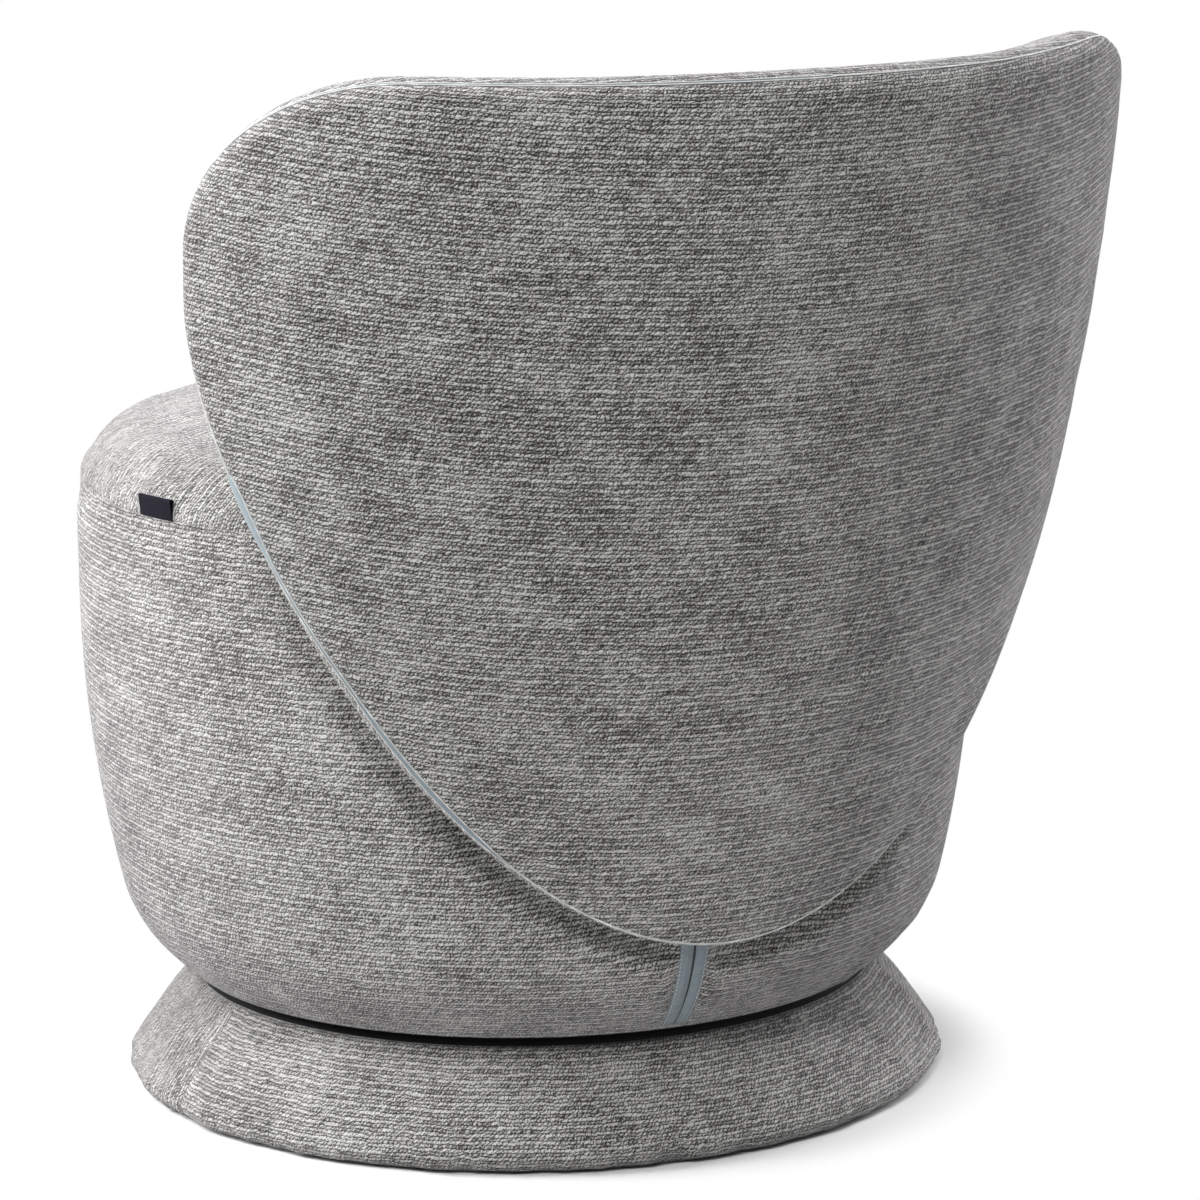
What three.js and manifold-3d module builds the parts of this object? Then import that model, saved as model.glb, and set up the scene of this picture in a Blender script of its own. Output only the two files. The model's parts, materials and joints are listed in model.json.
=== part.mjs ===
// Swivel cuddle chair: a padded drum seat that turns on a flared plinth, with a leaf-shaped back
// shell bent round the drum. Millimetres, +Z up, the sitter faces -Y.
// Everything is worked out round the swivel axis, and the last lines move the whole chair so that
// the centre of its footprint box is the origin.

import * as THREE from "three";
import { mergeVertices } from "three/addons/utils/BufferGeometryUtils.js";
import Module from "manifold-3d";

const wasm = await Module();
wasm.setup();

// Driving dimensions

const clearance = 0.3; // between pieces that rest on each other
const cutOverrun = 5; // how far a cutter reaches past what it cuts
const cloth = 2; // upholstery fabric with its backing

const glide = { count: 5, radius: 15, height: 3, chamfer: 1.2, circleRadius: 222 };

const plinth = {
  floorRadius: 298,
  topRadius: 252,
  height: 77,
  edgeRound: 5,
  hemInnerRadius: 246,
  topHemInnerRadius: 214,
  flarePower: 1.25,
  boardInset: 27,
  boardThickness: 15,
  ringWall: 24,
  hubHoleRadius: 45,
};

const bearing = {
  plateSide: 200,
  plateThickness: 2.5,
  cornerRadius: 16,
  holeInset: 16,
  holeRadius: 3.2,
  pitchRadius: 75,
  ballRadius: 4.5,
  ballCount: 10,
  ballPlay: 0.1,
  laneClearance: 1,
  guideWall: 2.5,
  guideHeight: 5.5,
  cageThickness: 2.4,
  cageReach: 4,
};

const screw = { shankRadius: 2.5, headRadius: 5.2, headHeight: 2.6, length: 15, holeRadius: 2.8 };

const drum = {
  rimHeight: 84,
  rimRadius: 250,
  tuckHeight: 150,
  tuckRadius: 294,
  sideRadius: 318,
  fullHeight: 355,
  seamHeight: 440,
  seamTuck: 1.6,
  topRoundWidth: 41,
  topRoundHeight: 43,
  crown: 9,
  hemInnerRadius: 214,
  tuckAngle: THREE.MathUtils.degToRad(15),
};

const frame = {
  boardThickness: 15,
  boardRadius: 236,
  ribCount: 6,
  ribThickness: 18,
  ribDepth: 52,
  ringThickness: 18,
  ringTop: 350,
  ringOuterRadius: 284,
  ringWidth: 68,
  wrapThickness: 3,
  wrapSeat: 1.8,
  dustThickness: 1,
  dustInnerRadius: 148,
};

const spring = {
  count: 4,
  spacing: 92,
  wireRadius: 1.9,
  loopWidth: 44,
  loopPitch: 31,
  archHeight: 6,
  ringBearing: 20,
  clipMargin: 12,
};

const back = {
  tipHeight: 154,
  topHeight: 761,
  shoulderDrop: 2,
  wingHeight: 601,
  cornerHeight: 640,
  halfAngle: THREE.MathUtils.degToRad(64.8),
  cornerAngle: THREE.MathUtils.degToRad(40),
  leafPower: 1.412,
  lowStandOff: 9,
  topStandOff: 78,
  flarePower: 2.2,
  recline: 60,
  reclinePower: 1.8,
  topThickness: 60,
  centreHeight: 500,
  edgeRound: 20,
  drumGap: 2.4,
  seamAngle: THREE.MathUtils.degToRad(45),
};

const shell = { thickness: 6, edgeShare: 0.8, coverDepth: 2.5, padShare: 0.12 };

const panelZip = {
  endHeight: 484,
  halfAngle: THREE.MathUtils.degToRad(13),
  thickness: 1.2,
  recess: 0.5,
};

const fixing = {
  angle: THREE.MathUtils.degToRad(22),
  heights: [262, 312],
  boltRadius: 4,
  boltHoleRadius: 4.4,
  headRadius: 7,
  headHeight: 5.5,
  spacerRadius: 8,
  blockWidth: 62,
  blockDepth: 30,
  blockMargin: 20,
  shellSeat: 3.6,
};

const rearZip = {
  angle: THREE.MathUtils.degToRad(4.5),
  lowHeight: 90,
  tapeWidth: 9.5,
  tapeThickness: 1.2,
  slit: 0.8,
  recess: 0.6,
  teethWidth: 4,
  teethDepth: 2.2,
  toothCount: 20,
  toothShare: 0.5,
  sliderLength: 10,
  sliderWall: 2,
};

const tag = {
  angle: THREE.MathUtils.degToRad(78),
  width: 44,
  height: 15,
  thickness: 1,
  lean: 3,
};

const facets = {
  round: 32,
  bearing: 24,
  screw: 8,
  ball: 6,
  corner: 2,
  wire: 5,
  strip: 4,
  plinthFlare: 3,
  tuck: 4,
  side: 2,
  topRound: 4,
  crown: 3,
  leafSide: 9,
  leafCorner: 4,
  leafTop: 2,
  leafFace: 4,
  leafOuterRim: 2,
  leafInnerRim: 3,
};

// Colours and finishes

const finishes = {
  upholstery: { color: 0x86857f, roughness: 0.95, metalness: 0 },
  lining: { color: 0x1c1c1e, roughness: 0.9, metalness: 0 },
  foam: { color: 0xe8dfc4, roughness: 0.95, metalness: 0 },
  plywood: { color: 0xb98c5a, roughness: 0.7, metalness: 0 },
  hardboard: { color: 0x7a5a3c, roughness: 0.8, metalness: 0 },
  plate: { color: 0x9ea1a3, roughness: 0.4, metalness: 1 },
  wire: { color: 0x6f7275, roughness: 0.35, metalness: 1 },
  zipTape: { color: 0x7d8d95, roughness: 0.85, metalness: 0 },
  zipTeeth: { color: 0x3a4247, roughness: 0.5, metalness: 0 },
  label: { color: 0x15161d, roughness: 0.8, metalness: 0 },
  glidePlastic: { color: 0x1a1a1a, roughness: 0.5, metalness: 0 },
};

// Levels that follow from the driving dimensions

const baseBoardLow = glide.height + clearance;
const baseBoardTop = baseBoardLow + plinth.boardThickness;
const topBoardTop = plinth.height - cloth - 2 * clearance;
const topBoardLow = topBoardTop - plinth.boardThickness;
const lowerPlateLow = topBoardTop + clearance;
const lowerPlateTop = lowerPlateLow + bearing.plateThickness;
const ballHeight = lowerPlateTop + bearing.ballPlay + bearing.ballRadius;
const upperPlateLow = ballHeight + bearing.ballRadius + bearing.ballPlay;
const upperPlateTop = upperPlateLow + bearing.plateThickness;
const seatBoardLow = upperPlateTop + clearance;
const seatBoardTop = seatBoardLow + frame.boardThickness;
const ringLow = frame.ringTop - frame.ringThickness;
const ringInnerRadius = frame.ringOuterRadius - frame.ringWidth;
const cushionLow = frame.ringTop + clearance;
const backLowRadius = drum.tuckRadius + back.lowStandOff;
const backTopRadius = drum.sideRadius + back.topStandOff;

// Mesh helpers

const group = new THREE.Group();
const solids = new Map();

/** Keeps positions only and merges equal vertices, so that the surface is closed. */
function welded(geometry) {
  const plain = geometry.clone();
  for (const name of Object.keys(plain.attributes)) {
    if (name !== "position") plain.deleteAttribute(name);
  }
  return mergeVertices(plain, 1e-4);
}

/** A three.js geometry as a solid, turned right side out where its profile ran the other way. */
function solid(geometry) {
  const merged = welded(geometry);
  const vertProperties = merged.attributes.position.array;
  const triVerts = new Uint32Array(merged.index.array);
  const made = new wasm.Manifold(new wasm.Mesh({ numProp: 3, vertProperties, triVerts }));
  if (made.volume() > 0) return made;
  const turned = triVerts.slice();
  for (let i = 0; i < turned.length; i += 3) {
    [turned[i + 1], turned[i + 2]] = [turned[i + 2], turned[i + 1]];
  }
  return new wasm.Manifold(new wasm.Mesh({ numProp: 3, vertProperties, triVerts: turned }));
}

/** A solid as a three.js geometry with flat normals. */
function geometryOf(body) {
  const mesh = body.getMesh();
  const count = mesh.vertProperties.length / mesh.numProp;
  const position = new Float32Array(count * 3);
  for (let i = 0; i < count; i++) {
    position.set(mesh.vertProperties.subarray(i * mesh.numProp, i * mesh.numProp + 3), i * 3);
  }
  const geometry = new THREE.BufferGeometry();
  geometry.setAttribute("position", new THREE.BufferAttribute(position, 3));
  geometry.setIndex(new THREE.BufferAttribute(new Uint32Array(mesh.triVerts), 1));
  geometry.computeVertexNormals();
  return geometry;
}

/** Adds one named piece to the chair. */
function addPiece(name, finish, body) {
  const material = new THREE.MeshStandardMaterial(finishes[finish]);
  const mesh = new THREE.Mesh(geometryOf(body), material);
  mesh.name = name;
  solids.set(name, body);
  group.add(mesh);
}

const point = (r, z) => new THREE.Vector2(r, z);

/** A profile of (radius, height) points turned about the swivel axis. */
function turned(profile, segments) {
  const geometry = new THREE.LatheGeometry(profile, segments);
  geometry.rotateX(Math.PI / 2);
  return solid(geometry);
}

/** A closed profile: its first point again at its end. */
const closed = (profile) => [...profile, profile[0].clone()];

/** A plain round board or ring with a square section. */
function ringBody(inner, outer, low, top, segments) {
  if (inner === 0) {
    return turned([point(0, low), point(outer, low), point(outer, top), point(0, top)], segments);
  }
  const section = [point(inner, low), point(outer, low), point(outer, top), point(inner, top)];
  return turned(closed(section), segments);
}

/** The profile moved sideways by a distance, to the left of its direction. */
function beside(profile, distance) {
  return profile.map((p, i) => {
    const before = profile[Math.max(i - 1, 0)];
    const after = profile[Math.min(i + 1, profile.length - 1)];
    const along = after.clone().sub(before).normalize();
    return point(p.x - along.y * distance, p.y + along.x * distance);
  });
}

/** A skin of even thickness on the left of a profile. */
const skinProfile = (profile, thickness) =>
  closed([...profile, ...beside(profile, thickness).reverse()]);

/**
 * A closed surface through rings of points. A ring of one point is a pole. From the band turnAt
 * on, each four-sided patch is split along its other diagonal, so that two bodies that face each
 * other along opposite runs of the same rings have the same facets.
 */
function lofted(rings, turnAt = rings.length) {
  const position = [];
  const index = [];
  const starts = [];
  for (const ring of rings) {
    starts.push(position.length / 3);
    for (const p of ring) position.push(p.x, p.y, p.z);
  }
  for (let i = 0; i < rings.length - 1; i++) {
    const next = i + 1;
    const lowRing = rings[i];
    const highRing = rings[next];
    const n = Math.max(lowRing.length, highRing.length);
    for (let j = 0; j < n; j++) {
      const k = (j + 1) % n;
      const a = starts[i] + (lowRing.length > 1 ? j : 0);
      const b = starts[i] + (lowRing.length > 1 ? k : 0);
      const c = starts[next] + (highRing.length > 1 ? j : 0);
      const d = starts[next] + (highRing.length > 1 ? k : 0);
      if (lowRing.length > 1) index.push(a, b, i < turnAt ? d : c);
      if (highRing.length > 1) index.push(i < turnAt ? a : b, d, c);
    }
  }
  const geometry = new THREE.BufferGeometry();
  geometry.setAttribute("position", new THREE.Float32BufferAttribute(position, 3));
  geometry.setIndex(index);
  return solid(geometry);
}

/** A closed surface along sections of equal length, with a flat fan on each end. */
function sweptSections(sections) {
  const middle = (section) =>
    section.reduce((sum, p) => sum.add(p), new THREE.Vector3()).divideScalar(section.length);
  const ends = [[middle(sections[0])], [middle(sections[sections.length - 1])]];
  return lofted([ends[0], ...sections, ends[1]]);
}

/** The place on a circle about the swivel axis. Angles run from the rear centre towards +X. */
const polar = (radius, angle, z) =>
  new THREE.Vector3(radius * Math.sin(angle), radius * Math.cos(angle), z);

/** A plate drawn in X and Y and raised along Z. */
function plate(shape, low, thickness) {
  const geometry = new THREE.ExtrudeGeometry(shape, {
    depth: thickness,
    bevelEnabled: false,
    curveSegments: facets.corner,
  });
  geometry.translate(0, 0, low);
  return solid(geometry);
}

// Plinth

/** The plinth cover's outer line from its lower hem up the flare to its top hem. */
function plinthLine() {
  const { floorRadius, topRadius, height, edgeRound, flarePower } = plinth;
  const low = baseBoardLow - clearance - cloth;
  const line = [point(plinth.hemInnerRadius, low)];
  for (let i = 0; i <= 2; i++) {
    const turn = (i / 2) * (Math.PI / 2);
    const r = floorRadius - edgeRound * (1 - Math.sin(turn));
    line.push(point(r, low + edgeRound * (1 - Math.cos(turn))));
  }
  const flareLow = low + edgeRound;
  const flareTop = height - edgeRound;
  const steps = facets.plinthFlare;
  for (let i = 1; i <= steps; i++) {
    const share = i / steps;
    const r = floorRadius + (topRadius - floorRadius) * share ** flarePower;
    line.push(point(r, flareLow + (flareTop - flareLow) * share));
  }
  for (let i = 1; i <= 2; i++) {
    const turn = (i / 2) * (Math.PI / 2);
    const r = topRadius - edgeRound * (1 - Math.cos(turn));
    line.push(point(r, flareTop + edgeRound * Math.sin(turn)));
  }
  line.push(point(plinth.topHemInnerRadius, height));
  return line;
}

const baseBoardRadius = plinth.floorRadius - plinth.boardInset;
const topBoardRadius = plinth.topRadius - plinth.boardInset;

function addPlinth() {
  for (let i = 0; i < glide.count; i++) {
    const profile = [
      point(0, 0),
      point(glide.radius - glide.chamfer, 0),
      point(glide.radius, glide.chamfer),
      point(glide.radius, glide.height),
      point(0, glide.height),
    ];
    const place = polar(glide.circleRadius, (i * 2 * Math.PI) / glide.count, 0);
    const body = turned(profile, facets.screw).translate([place.x, place.y, 0]);
    addPiece(`glide_${i + 1}`, "glidePlastic", body);
  }
  const low = ringBody(0, baseBoardRadius, baseBoardLow, baseBoardTop, facets.round);
  addPiece("plinth_bottom_board", "plywood", low);
  const ringBottom = baseBoardTop + clearance;
  const ringTop = topBoardLow - clearance;
  const ringInner = topBoardRadius - plinth.ringWall;
  const wall = ringBody(ringInner, topBoardRadius, ringBottom, ringTop, facets.round);
  addPiece("plinth_ring", "plywood", wall);
  const hub = plinth.hubHoleRadius;
  let top = ringBody(hub, topBoardRadius, topBoardLow, topBoardTop, facets.round);
  for (const [x, y] of screwPlaces()) top = top.subtract(screwHole(x, y, topBoardLow, topBoardTop));
  addPiece("plinth_top_board", "plywood", top);

  const line = plinthLine();
  addPiece("plinth_cover", "upholstery", turned(skinProfile(line, cloth), facets.round));
  const padLine = beside(line, cloth + clearance);
  const padOuter = padLine.slice(3, -3);
  const first = padOuter[0];
  const last = padOuter[padOuter.length - 1];
  const inner = [
    point(topBoardRadius + clearance, last.y),
    point(topBoardRadius + clearance, baseBoardTop + clearance),
    point(baseBoardRadius + clearance, baseBoardTop + clearance),
    point(baseBoardRadius + clearance, first.y),
  ];
  addPiece("plinth_foam", "foam", turned(closed([...padOuter, ...inner]), facets.round));
}

// Swivel bearing

/** The four screw places of each bearing plate. */
function screwPlaces() {
  const reach = bearing.plateSide / 2 - bearing.holeInset;
  return [-1, 1].flatMap((sx) => [-1, 1].map((sy) => [sx * reach, sy * reach]));
}

function screwHole(x, y, low, top) {
  const body = ringBody(0, screw.holeRadius, low - cutOverrun, top + cutOverrun, facets.screw);
  return body.translate([x, y, 0]);
}

/** A square plate with round corners, four screw holes and an open hub. */
function bearingPlate(low) {
  const half = bearing.plateSide / 2;
  const round = bearing.cornerRadius;
  const shape = new THREE.Shape();
  shape.absarc(half - round, half - round, round, 0, Math.PI / 2);
  shape.absarc(round - half, half - round, round, Math.PI / 2, Math.PI);
  shape.absarc(round - half, round - half, round, Math.PI, 1.5 * Math.PI);
  shape.absarc(half - round, round - half, round, 1.5 * Math.PI, 2 * Math.PI);
  let body = plate(shape, low, bearing.plateThickness);
  const top = low + bearing.plateThickness;
  const hub = ringBody(0, plinth.hubHoleRadius, low - cutOverrun, top + cutOverrun, facets.bearing);
  body = body.subtract(hub);
  for (const [x, y] of screwPlaces()) {
    const hole = ringBody(0, bearing.holeRadius, low - cutOverrun, top + cutOverrun, facets.screw);
    body = body.subtract(hole.translate([x, y, 0]));
  }
  return body;
}

/** A pan-head screw whose head rests on a face at a height, pointing down or up. */
function screwBody(x, y, face, direction) {
  const { shankRadius, headRadius, headHeight, length } = screw;
  const z = (distance) => face + direction * distance;
  const profile = [
    point(0, z(-length)),
    point(shankRadius, z(-length)),
    point(shankRadius, z(clearance)),
    point(headRadius, z(clearance)),
    point(shankRadius, z(clearance + headHeight)),
    point(0, z(clearance + headHeight)),
  ];
  return turned(profile, facets.screw).translate([x, y, 0]);
}

function addBearing() {
  const { pitchRadius, ballRadius, guideWall, guideHeight, cageThickness } = bearing;
  const lane = ballRadius + bearing.laneClearance;
  const innerGuide = pitchRadius - lane;
  const outerGuide = pitchRadius + lane;
  const bite = bearing.plateThickness / 2;
  const lowGuide = ringBody(
    innerGuide - guideWall, innerGuide, lowerPlateTop - bite, lowerPlateTop + guideHeight, facets.bearing);
  addPiece("bearing_lower_plate", "plate", bearingPlate(lowerPlateLow).add(lowGuide));
  const highGuide = ringBody(
    outerGuide, outerGuide + guideWall, upperPlateLow - guideHeight, upperPlateLow + bite, facets.bearing);
  addPiece("bearing_upper_plate", "plate", bearingPlate(upperPlateLow).add(highGuide));

  const half = cageThickness / 2;
  const reach = bearing.cageReach;
  let cage = ringBody(
    pitchRadius - reach, pitchRadius + reach, ballHeight - half, ballHeight + half, facets.bearing);
  for (let i = 0; i < bearing.ballCount; i++) {
    const ball = new THREE.SphereGeometry(ballRadius, facets.ball, facets.ball);
    ball.rotateX(Math.PI / 2);
    const place = polar(pitchRadius, (i * 2 * Math.PI) / bearing.ballCount, ballHeight);
    cage = cage.add(solid(ball).translate([place.x, place.y, place.z]));
  }
  addPiece("bearing_ball_cage", "wire", cage);

  screwPlaces().forEach(([x, y], i) => {
    addPiece(`lower_plate_screw_${i + 1}`, "plate", screwBody(x, y, lowerPlateTop, 1));
    addPiece(`upper_plate_screw_${i + 1}`, "plate", screwBody(x, y, upperPlateLow, -1));
  });
}

// Drum outline

const tuck = tuckArc();

/** The arc of the drum's lower edge: its centre, its radius and its two end angles. */
function tuckArc() {
  const { rimRadius, rimHeight, tuckRadius, tuckHeight } = drum;
  const across = tuckRadius - rimRadius;
  const up = tuckHeight - rimHeight;
  const lean = across * Math.cos(drum.tuckAngle) - up * Math.sin(drum.tuckAngle);
  const radius = (across * across + up * up) / (2 * lean);
  const r = tuckRadius - radius * Math.cos(drum.tuckAngle);
  const z = tuckHeight + radius * Math.sin(drum.tuckAngle);
  return { r, z, radius, low: Math.atan2(rimHeight - z, rimRadius - r), high: -drum.tuckAngle };
}

/** The drum's outer radius at a height between its rim and its seam. */
function drumRadius(z) {
  if (z <= drum.tuckHeight) {
    const rise = THREE.MathUtils.clamp(tuck.z - z, 0, tuck.radius);
    return tuck.r + Math.sqrt(tuck.radius ** 2 - rise ** 2);
  }
  const share = Math.min((z - drum.tuckHeight) / (drum.fullHeight - drum.tuckHeight), 1);
  const grow = drum.sideRadius - drum.tuckRadius;
  return drum.tuckRadius + grow * (1 - (1 - share) ** 2);
}

/** The side cover's outer line from its lower hem up to the seam. */
function sideLine() {
  const line = [point(drum.hemInnerRadius, drum.rimHeight), point(drum.rimRadius, drum.rimHeight)];
  const steps = facets.tuck;
  for (let i = 1; i <= steps; i++) {
    const angle = tuck.low + (tuck.high - tuck.low) * (i / steps);
    line.push(point(tuck.r + tuck.radius * Math.cos(angle), tuck.z + tuck.radius * Math.sin(angle)));
  }
  const sideSteps = facets.side;
  for (let i = 1; i <= sideSteps; i++) {
    const z = drum.tuckHeight + (drum.fullHeight - drum.tuckHeight) * (i / sideSteps);
    line.push(point(drumRadius(z), z));
  }
  line.push(point(drum.sideRadius, drum.seamHeight - 3 * cloth));
  line.push(point(drum.sideRadius - drum.seamTuck, drum.seamHeight - clearance / 2));
  return line;
}

/** The top panel's outer line from the seam over the rounded edge to the crown. */
function topLine() {
  const { seamHeight, sideRadius, seamTuck, topRoundWidth, topRoundHeight, crown } = drum;
  const start = seamHeight + clearance / 2;
  const line = [point(sideRadius - seamTuck, start)];
  const steps = facets.topRound;
  for (let i = 1; i <= steps; i++) {
    const turn = (i / steps) * (Math.PI / 2);
    const r = sideRadius - topRoundWidth * (1 - Math.cos(turn));
    line.push(point(r, start + cloth + (topRoundHeight - cloth) * Math.sin(turn)));
  }
  const flat = sideRadius - topRoundWidth;
  const rest = facets.crown;
  for (let i = 1; i <= rest; i++) {
    const share = i / rest;
    line.push(point(flat * (1 - share), start + topRoundHeight + crown * (1 - (1 - share) ** 2)));
  }
  return line;
}

// Seat frame

/** The hardboard wrap's radius at a height: a cone from the seat board up to the top ring. */
function wrapRadius(z) {
  const share = (z - seatBoardLow) / (frame.ringTop - seatBoardLow);
  const low = frame.boardRadius + clearance;
  return low + (frame.ringOuterRadius - frame.boardRadius) * share;
}

/** One upright rib: a plywood board whose outer edge follows the wrap. */
function ribBody(angle) {
  const low = seatBoardTop + clearance;
  const top = ringLow - clearance;
  const lowOuter = wrapRadius(low) - frame.wrapSeat;
  const topOuter = wrapRadius(top) - frame.wrapSeat;
  const shape = new THREE.Shape([
    point(lowOuter - frame.ribDepth, low),
    point(lowOuter, low),
    point(topOuter, top),
    point(topOuter - frame.ribDepth, top),
  ]);
  const geometry = new THREE.ExtrudeGeometry(shape, {
    depth: frame.ribThickness,
    bevelEnabled: false,
  });
  geometry.translate(0, 0, -frame.ribThickness / 2);
  geometry.rotateX(Math.PI / 2);
  geometry.rotateZ(angle);
  return solid(geometry);
}

/** One sinuous spring: a wire that snakes from the ring's front to its rear in a low arch. */
function springBody(x) {
  const reach = ringInnerRadius + spring.ringBearing;
  const half = Math.sqrt(reach ** 2 - x ** 2);
  const bends = 2 * Math.floor(half / spring.loopPitch);
  const points = [];
  const perBend = 3;
  const rest = frame.ringTop + clearance + spring.wireRadius;
  for (let i = 0; i <= bends * perBend; i++) {
    const share = i / (bends * perBend);
    const swing = Math.sin((i / perBend) * Math.PI);
    const arch = 1 - (2 * share - 1) ** 2;
    const y = -half + 2 * half * share;
    points.push(
      new THREE.Vector3(x + (swing * spring.loopWidth) / 2, y, rest + spring.archHeight * arch));
  }
  const section = [];
  for (let i = 0; i < facets.wire; i++) {
    const turn = (i * 2 * Math.PI) / facets.wire;
    section.push(point(spring.wireRadius * Math.cos(turn), spring.wireRadius * Math.sin(turn)));
  }
  const geometry = new THREE.ExtrudeGeometry(new THREE.Shape(section), {
    extrudePath: new THREE.CatmullRomCurve3(points),
    steps: points.length - 1,
    bevelEnabled: false,
  });
  return solid(geometry);
}

/** A cylinder along a radius of the drum, between two distances from the axis. */
function radialRod(radius, angle, z, from, to, segments) {
  const geometry = new THREE.CylinderGeometry(radius, radius, to - from, segments);
  geometry.translate(0, (from + to) / 2, 0);
  geometry.rotateZ(-angle);
  geometry.translate(0, 0, z);
  return solid(geometry);
}

/** Calls a function for each of the four back bolts. */
function eachFixing(act) {
  let count = 0;
  for (const side of [-1, 1]) {
    for (const z of fixing.heights) {
      count += 1;
      act(side * fixing.angle, z, count);
    }
  }
}

/** A body with a round way through it at each back bolt. */
function boredForFixings(body, radius) {
  let result = body;
  eachFixing((angle, z) => {
    const to = backTopRadius + back.recline;
    result = result.subtract(radialRod(radius, angle, z, plinth.hubHoleRadius, to, facets.screw));
  });
  return result;
}

function addSeatFrame() {
  const hub = plinth.hubHoleRadius;
  let board = ringBody(hub, frame.boardRadius, seatBoardLow, seatBoardTop, facets.round);
  for (const [x, y] of screwPlaces()) {
    board = board.subtract(screwHole(x, y, seatBoardLow, seatBoardTop));
  }
  addPiece("seat_bottom_board", "plywood", board);
  for (let i = 0; i < frame.ribCount; i++) {
    addPiece(`seat_rib_${i + 1}`, "plywood", ribBody(((2 * i + 1) * Math.PI) / frame.ribCount));
  }
  const ring = closed([
    point(ringInnerRadius, ringLow),
    point(wrapRadius(ringLow) - clearance, ringLow),
    point(wrapRadius(frame.ringTop) - clearance, frame.ringTop),
    point(ringInnerRadius, frame.ringTop),
  ]);
  addPiece("seat_top_ring", "plywood", turned(ring, facets.round));

  const low = seatBoardLow;
  const top = frame.ringTop;
  const wrap = closed([
    point(wrapRadius(low), low),
    point(wrapRadius(low) + frame.wrapThickness, low),
    point(wrapRadius(top) + frame.wrapThickness, top),
    point(wrapRadius(top), top),
  ]);
  const bored = boredForFixings(turned(wrap, facets.round), fixing.boltHoleRadius);
  addPiece("seat_side_wrap", "hardboard", bored);

  for (let i = 0; i < spring.count; i++) {
    const x = (i - (spring.count - 1) / 2) * spring.spacing;
    addPiece(`seat_spring_${i + 1}`, "wire", springBody(x));
  }

  const dustLow = drum.rimHeight + cloth + clearance;
  const dustTop = dustLow + frame.dustThickness;
  const dust = ringBody(frame.dustInnerRadius, frame.boardRadius, dustLow, dustTop, facets.round);
  addPiece("seat_dust_cover", "lining", dust);
}

// Rear zip, in the plane of one meridian of the drum's lower arc

/** Turns a body drawn with X outwards, Y up and Z across into the rear zip's plane. */
function atRearZip(geometry) {
  const upright = new THREE.Matrix4().makeBasis(
    polar(1, rearZip.angle, 0),
    new THREE.Vector3(0, 0, 1),
    polar(1, rearZip.angle + Math.PI / 2, 0));
  geometry.applyMatrix4(upright);
  return solid(geometry);
}

/** A strip that follows the drum's lower arc: an arc sector raised across the zip. */
function arcStrip(depth, thickness, from, to, across, width) {
  const outer = tuck.radius - depth;
  const inner = outer - thickness;
  const shape = new THREE.Shape();
  shape.absarc(tuck.r, tuck.z, outer, from, to, false);
  shape.absarc(tuck.r, tuck.z, inner, to, from, true);
  const geometry = new THREE.ExtrudeGeometry(shape, {
    depth: width,
    bevelEnabled: false,
    curveSegments: facets.strip,
  });
  geometry.translate(0, 0, across - width / 2);
  return atRearZip(geometry);
}

/** The lower arc's angle at a height. */
const arcAngle = (z) => Math.asin((z - tuck.z) / tuck.radius);

const zipLow = arcAngle(rearZip.lowHeight);
const zipHigh = tuck.high;

/** The tooth chain: a strip with a row of notches along its inner side. */
function teethBody() {
  const outer = tuck.radius - rearZip.recess - rearZip.tapeThickness - clearance;
  const root = outer - rearZip.teethDepth / 2;
  const tip = outer - rearZip.teethDepth;
  const step = (zipHigh - zipLow) / rearZip.toothCount;
  const at = (radius, angle) =>
    point(tuck.r + radius * Math.cos(angle), tuck.z + radius * Math.sin(angle));
  const line = [];
  for (let i = 0; i <= rearZip.toothCount; i++) line.push(at(outer, zipLow + i * step));
  for (let i = rearZip.toothCount; i > 0; i--) {
    const angle = zipLow + i * step;
    const edge = angle - step * rearZip.toothShare;
    line.push(at(root, angle), at(root, edge), at(tip, edge), at(tip, angle - step));
  }
  const geometry = new THREE.ExtrudeGeometry(new THREE.Shape(line), {
    depth: rearZip.teethWidth,
    bevelEnabled: false,
  });
  geometry.translate(0, 0, -rearZip.teethWidth / 2);
  return atRearZip(geometry);
}

/** The space behind the side cover in which the rear zip's slider runs. */
function sliderChannel() {
  const depth = rearZip.recess + rearZip.tapeThickness;
  const width = rearZip.teethWidth + 4 * rearZip.sliderWall + 2 * clearance;
  const reach = depth + rearZip.teethDepth + 2 * rearZip.sliderWall + 2 * clearance;
  const low = zipLow - drum.tuckAngle;
  const high = zipHigh + drum.tuckAngle;
  return arcStrip(cloth, reach - cloth + clearance, low, high, 0, width);
}

function addRearZip() {
  const offset = (rearZip.tapeWidth + rearZip.slit) / 2;
  const { recess, tapeThickness, tapeWidth } = rearZip;
  for (const [name, side] of [["left", -1], ["right", 1]]) {
    const tape = arcStrip(recess, tapeThickness, zipLow, zipHigh, side * offset, tapeWidth);
    addPiece(`rear_zip_tape_${name}`, "zipTape", tape);
  }
  addPiece("rear_zip_teeth", "zipTeeth", teethBody());

  const depth = recess + tapeThickness + clearance;
  const wall = rearZip.sliderWall;
  const width = rearZip.teethWidth + 2 * clearance;
  const length = rearZip.sliderLength / tuck.radius;
  const tall = rearZip.teethDepth + clearance + wall;
  const body = arcStrip(depth, tall, zipLow, zipLow + length, 0, width + 2 * wall);
  const lane = arcStrip(
    depth - wall, rearZip.teethDepth + clearance + wall, zipLow - length, zipLow + 2 * length, 0, width);
  addPiece("rear_zip_slider", "plate", body.subtract(lane));
}

// Seat padding and covers

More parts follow.
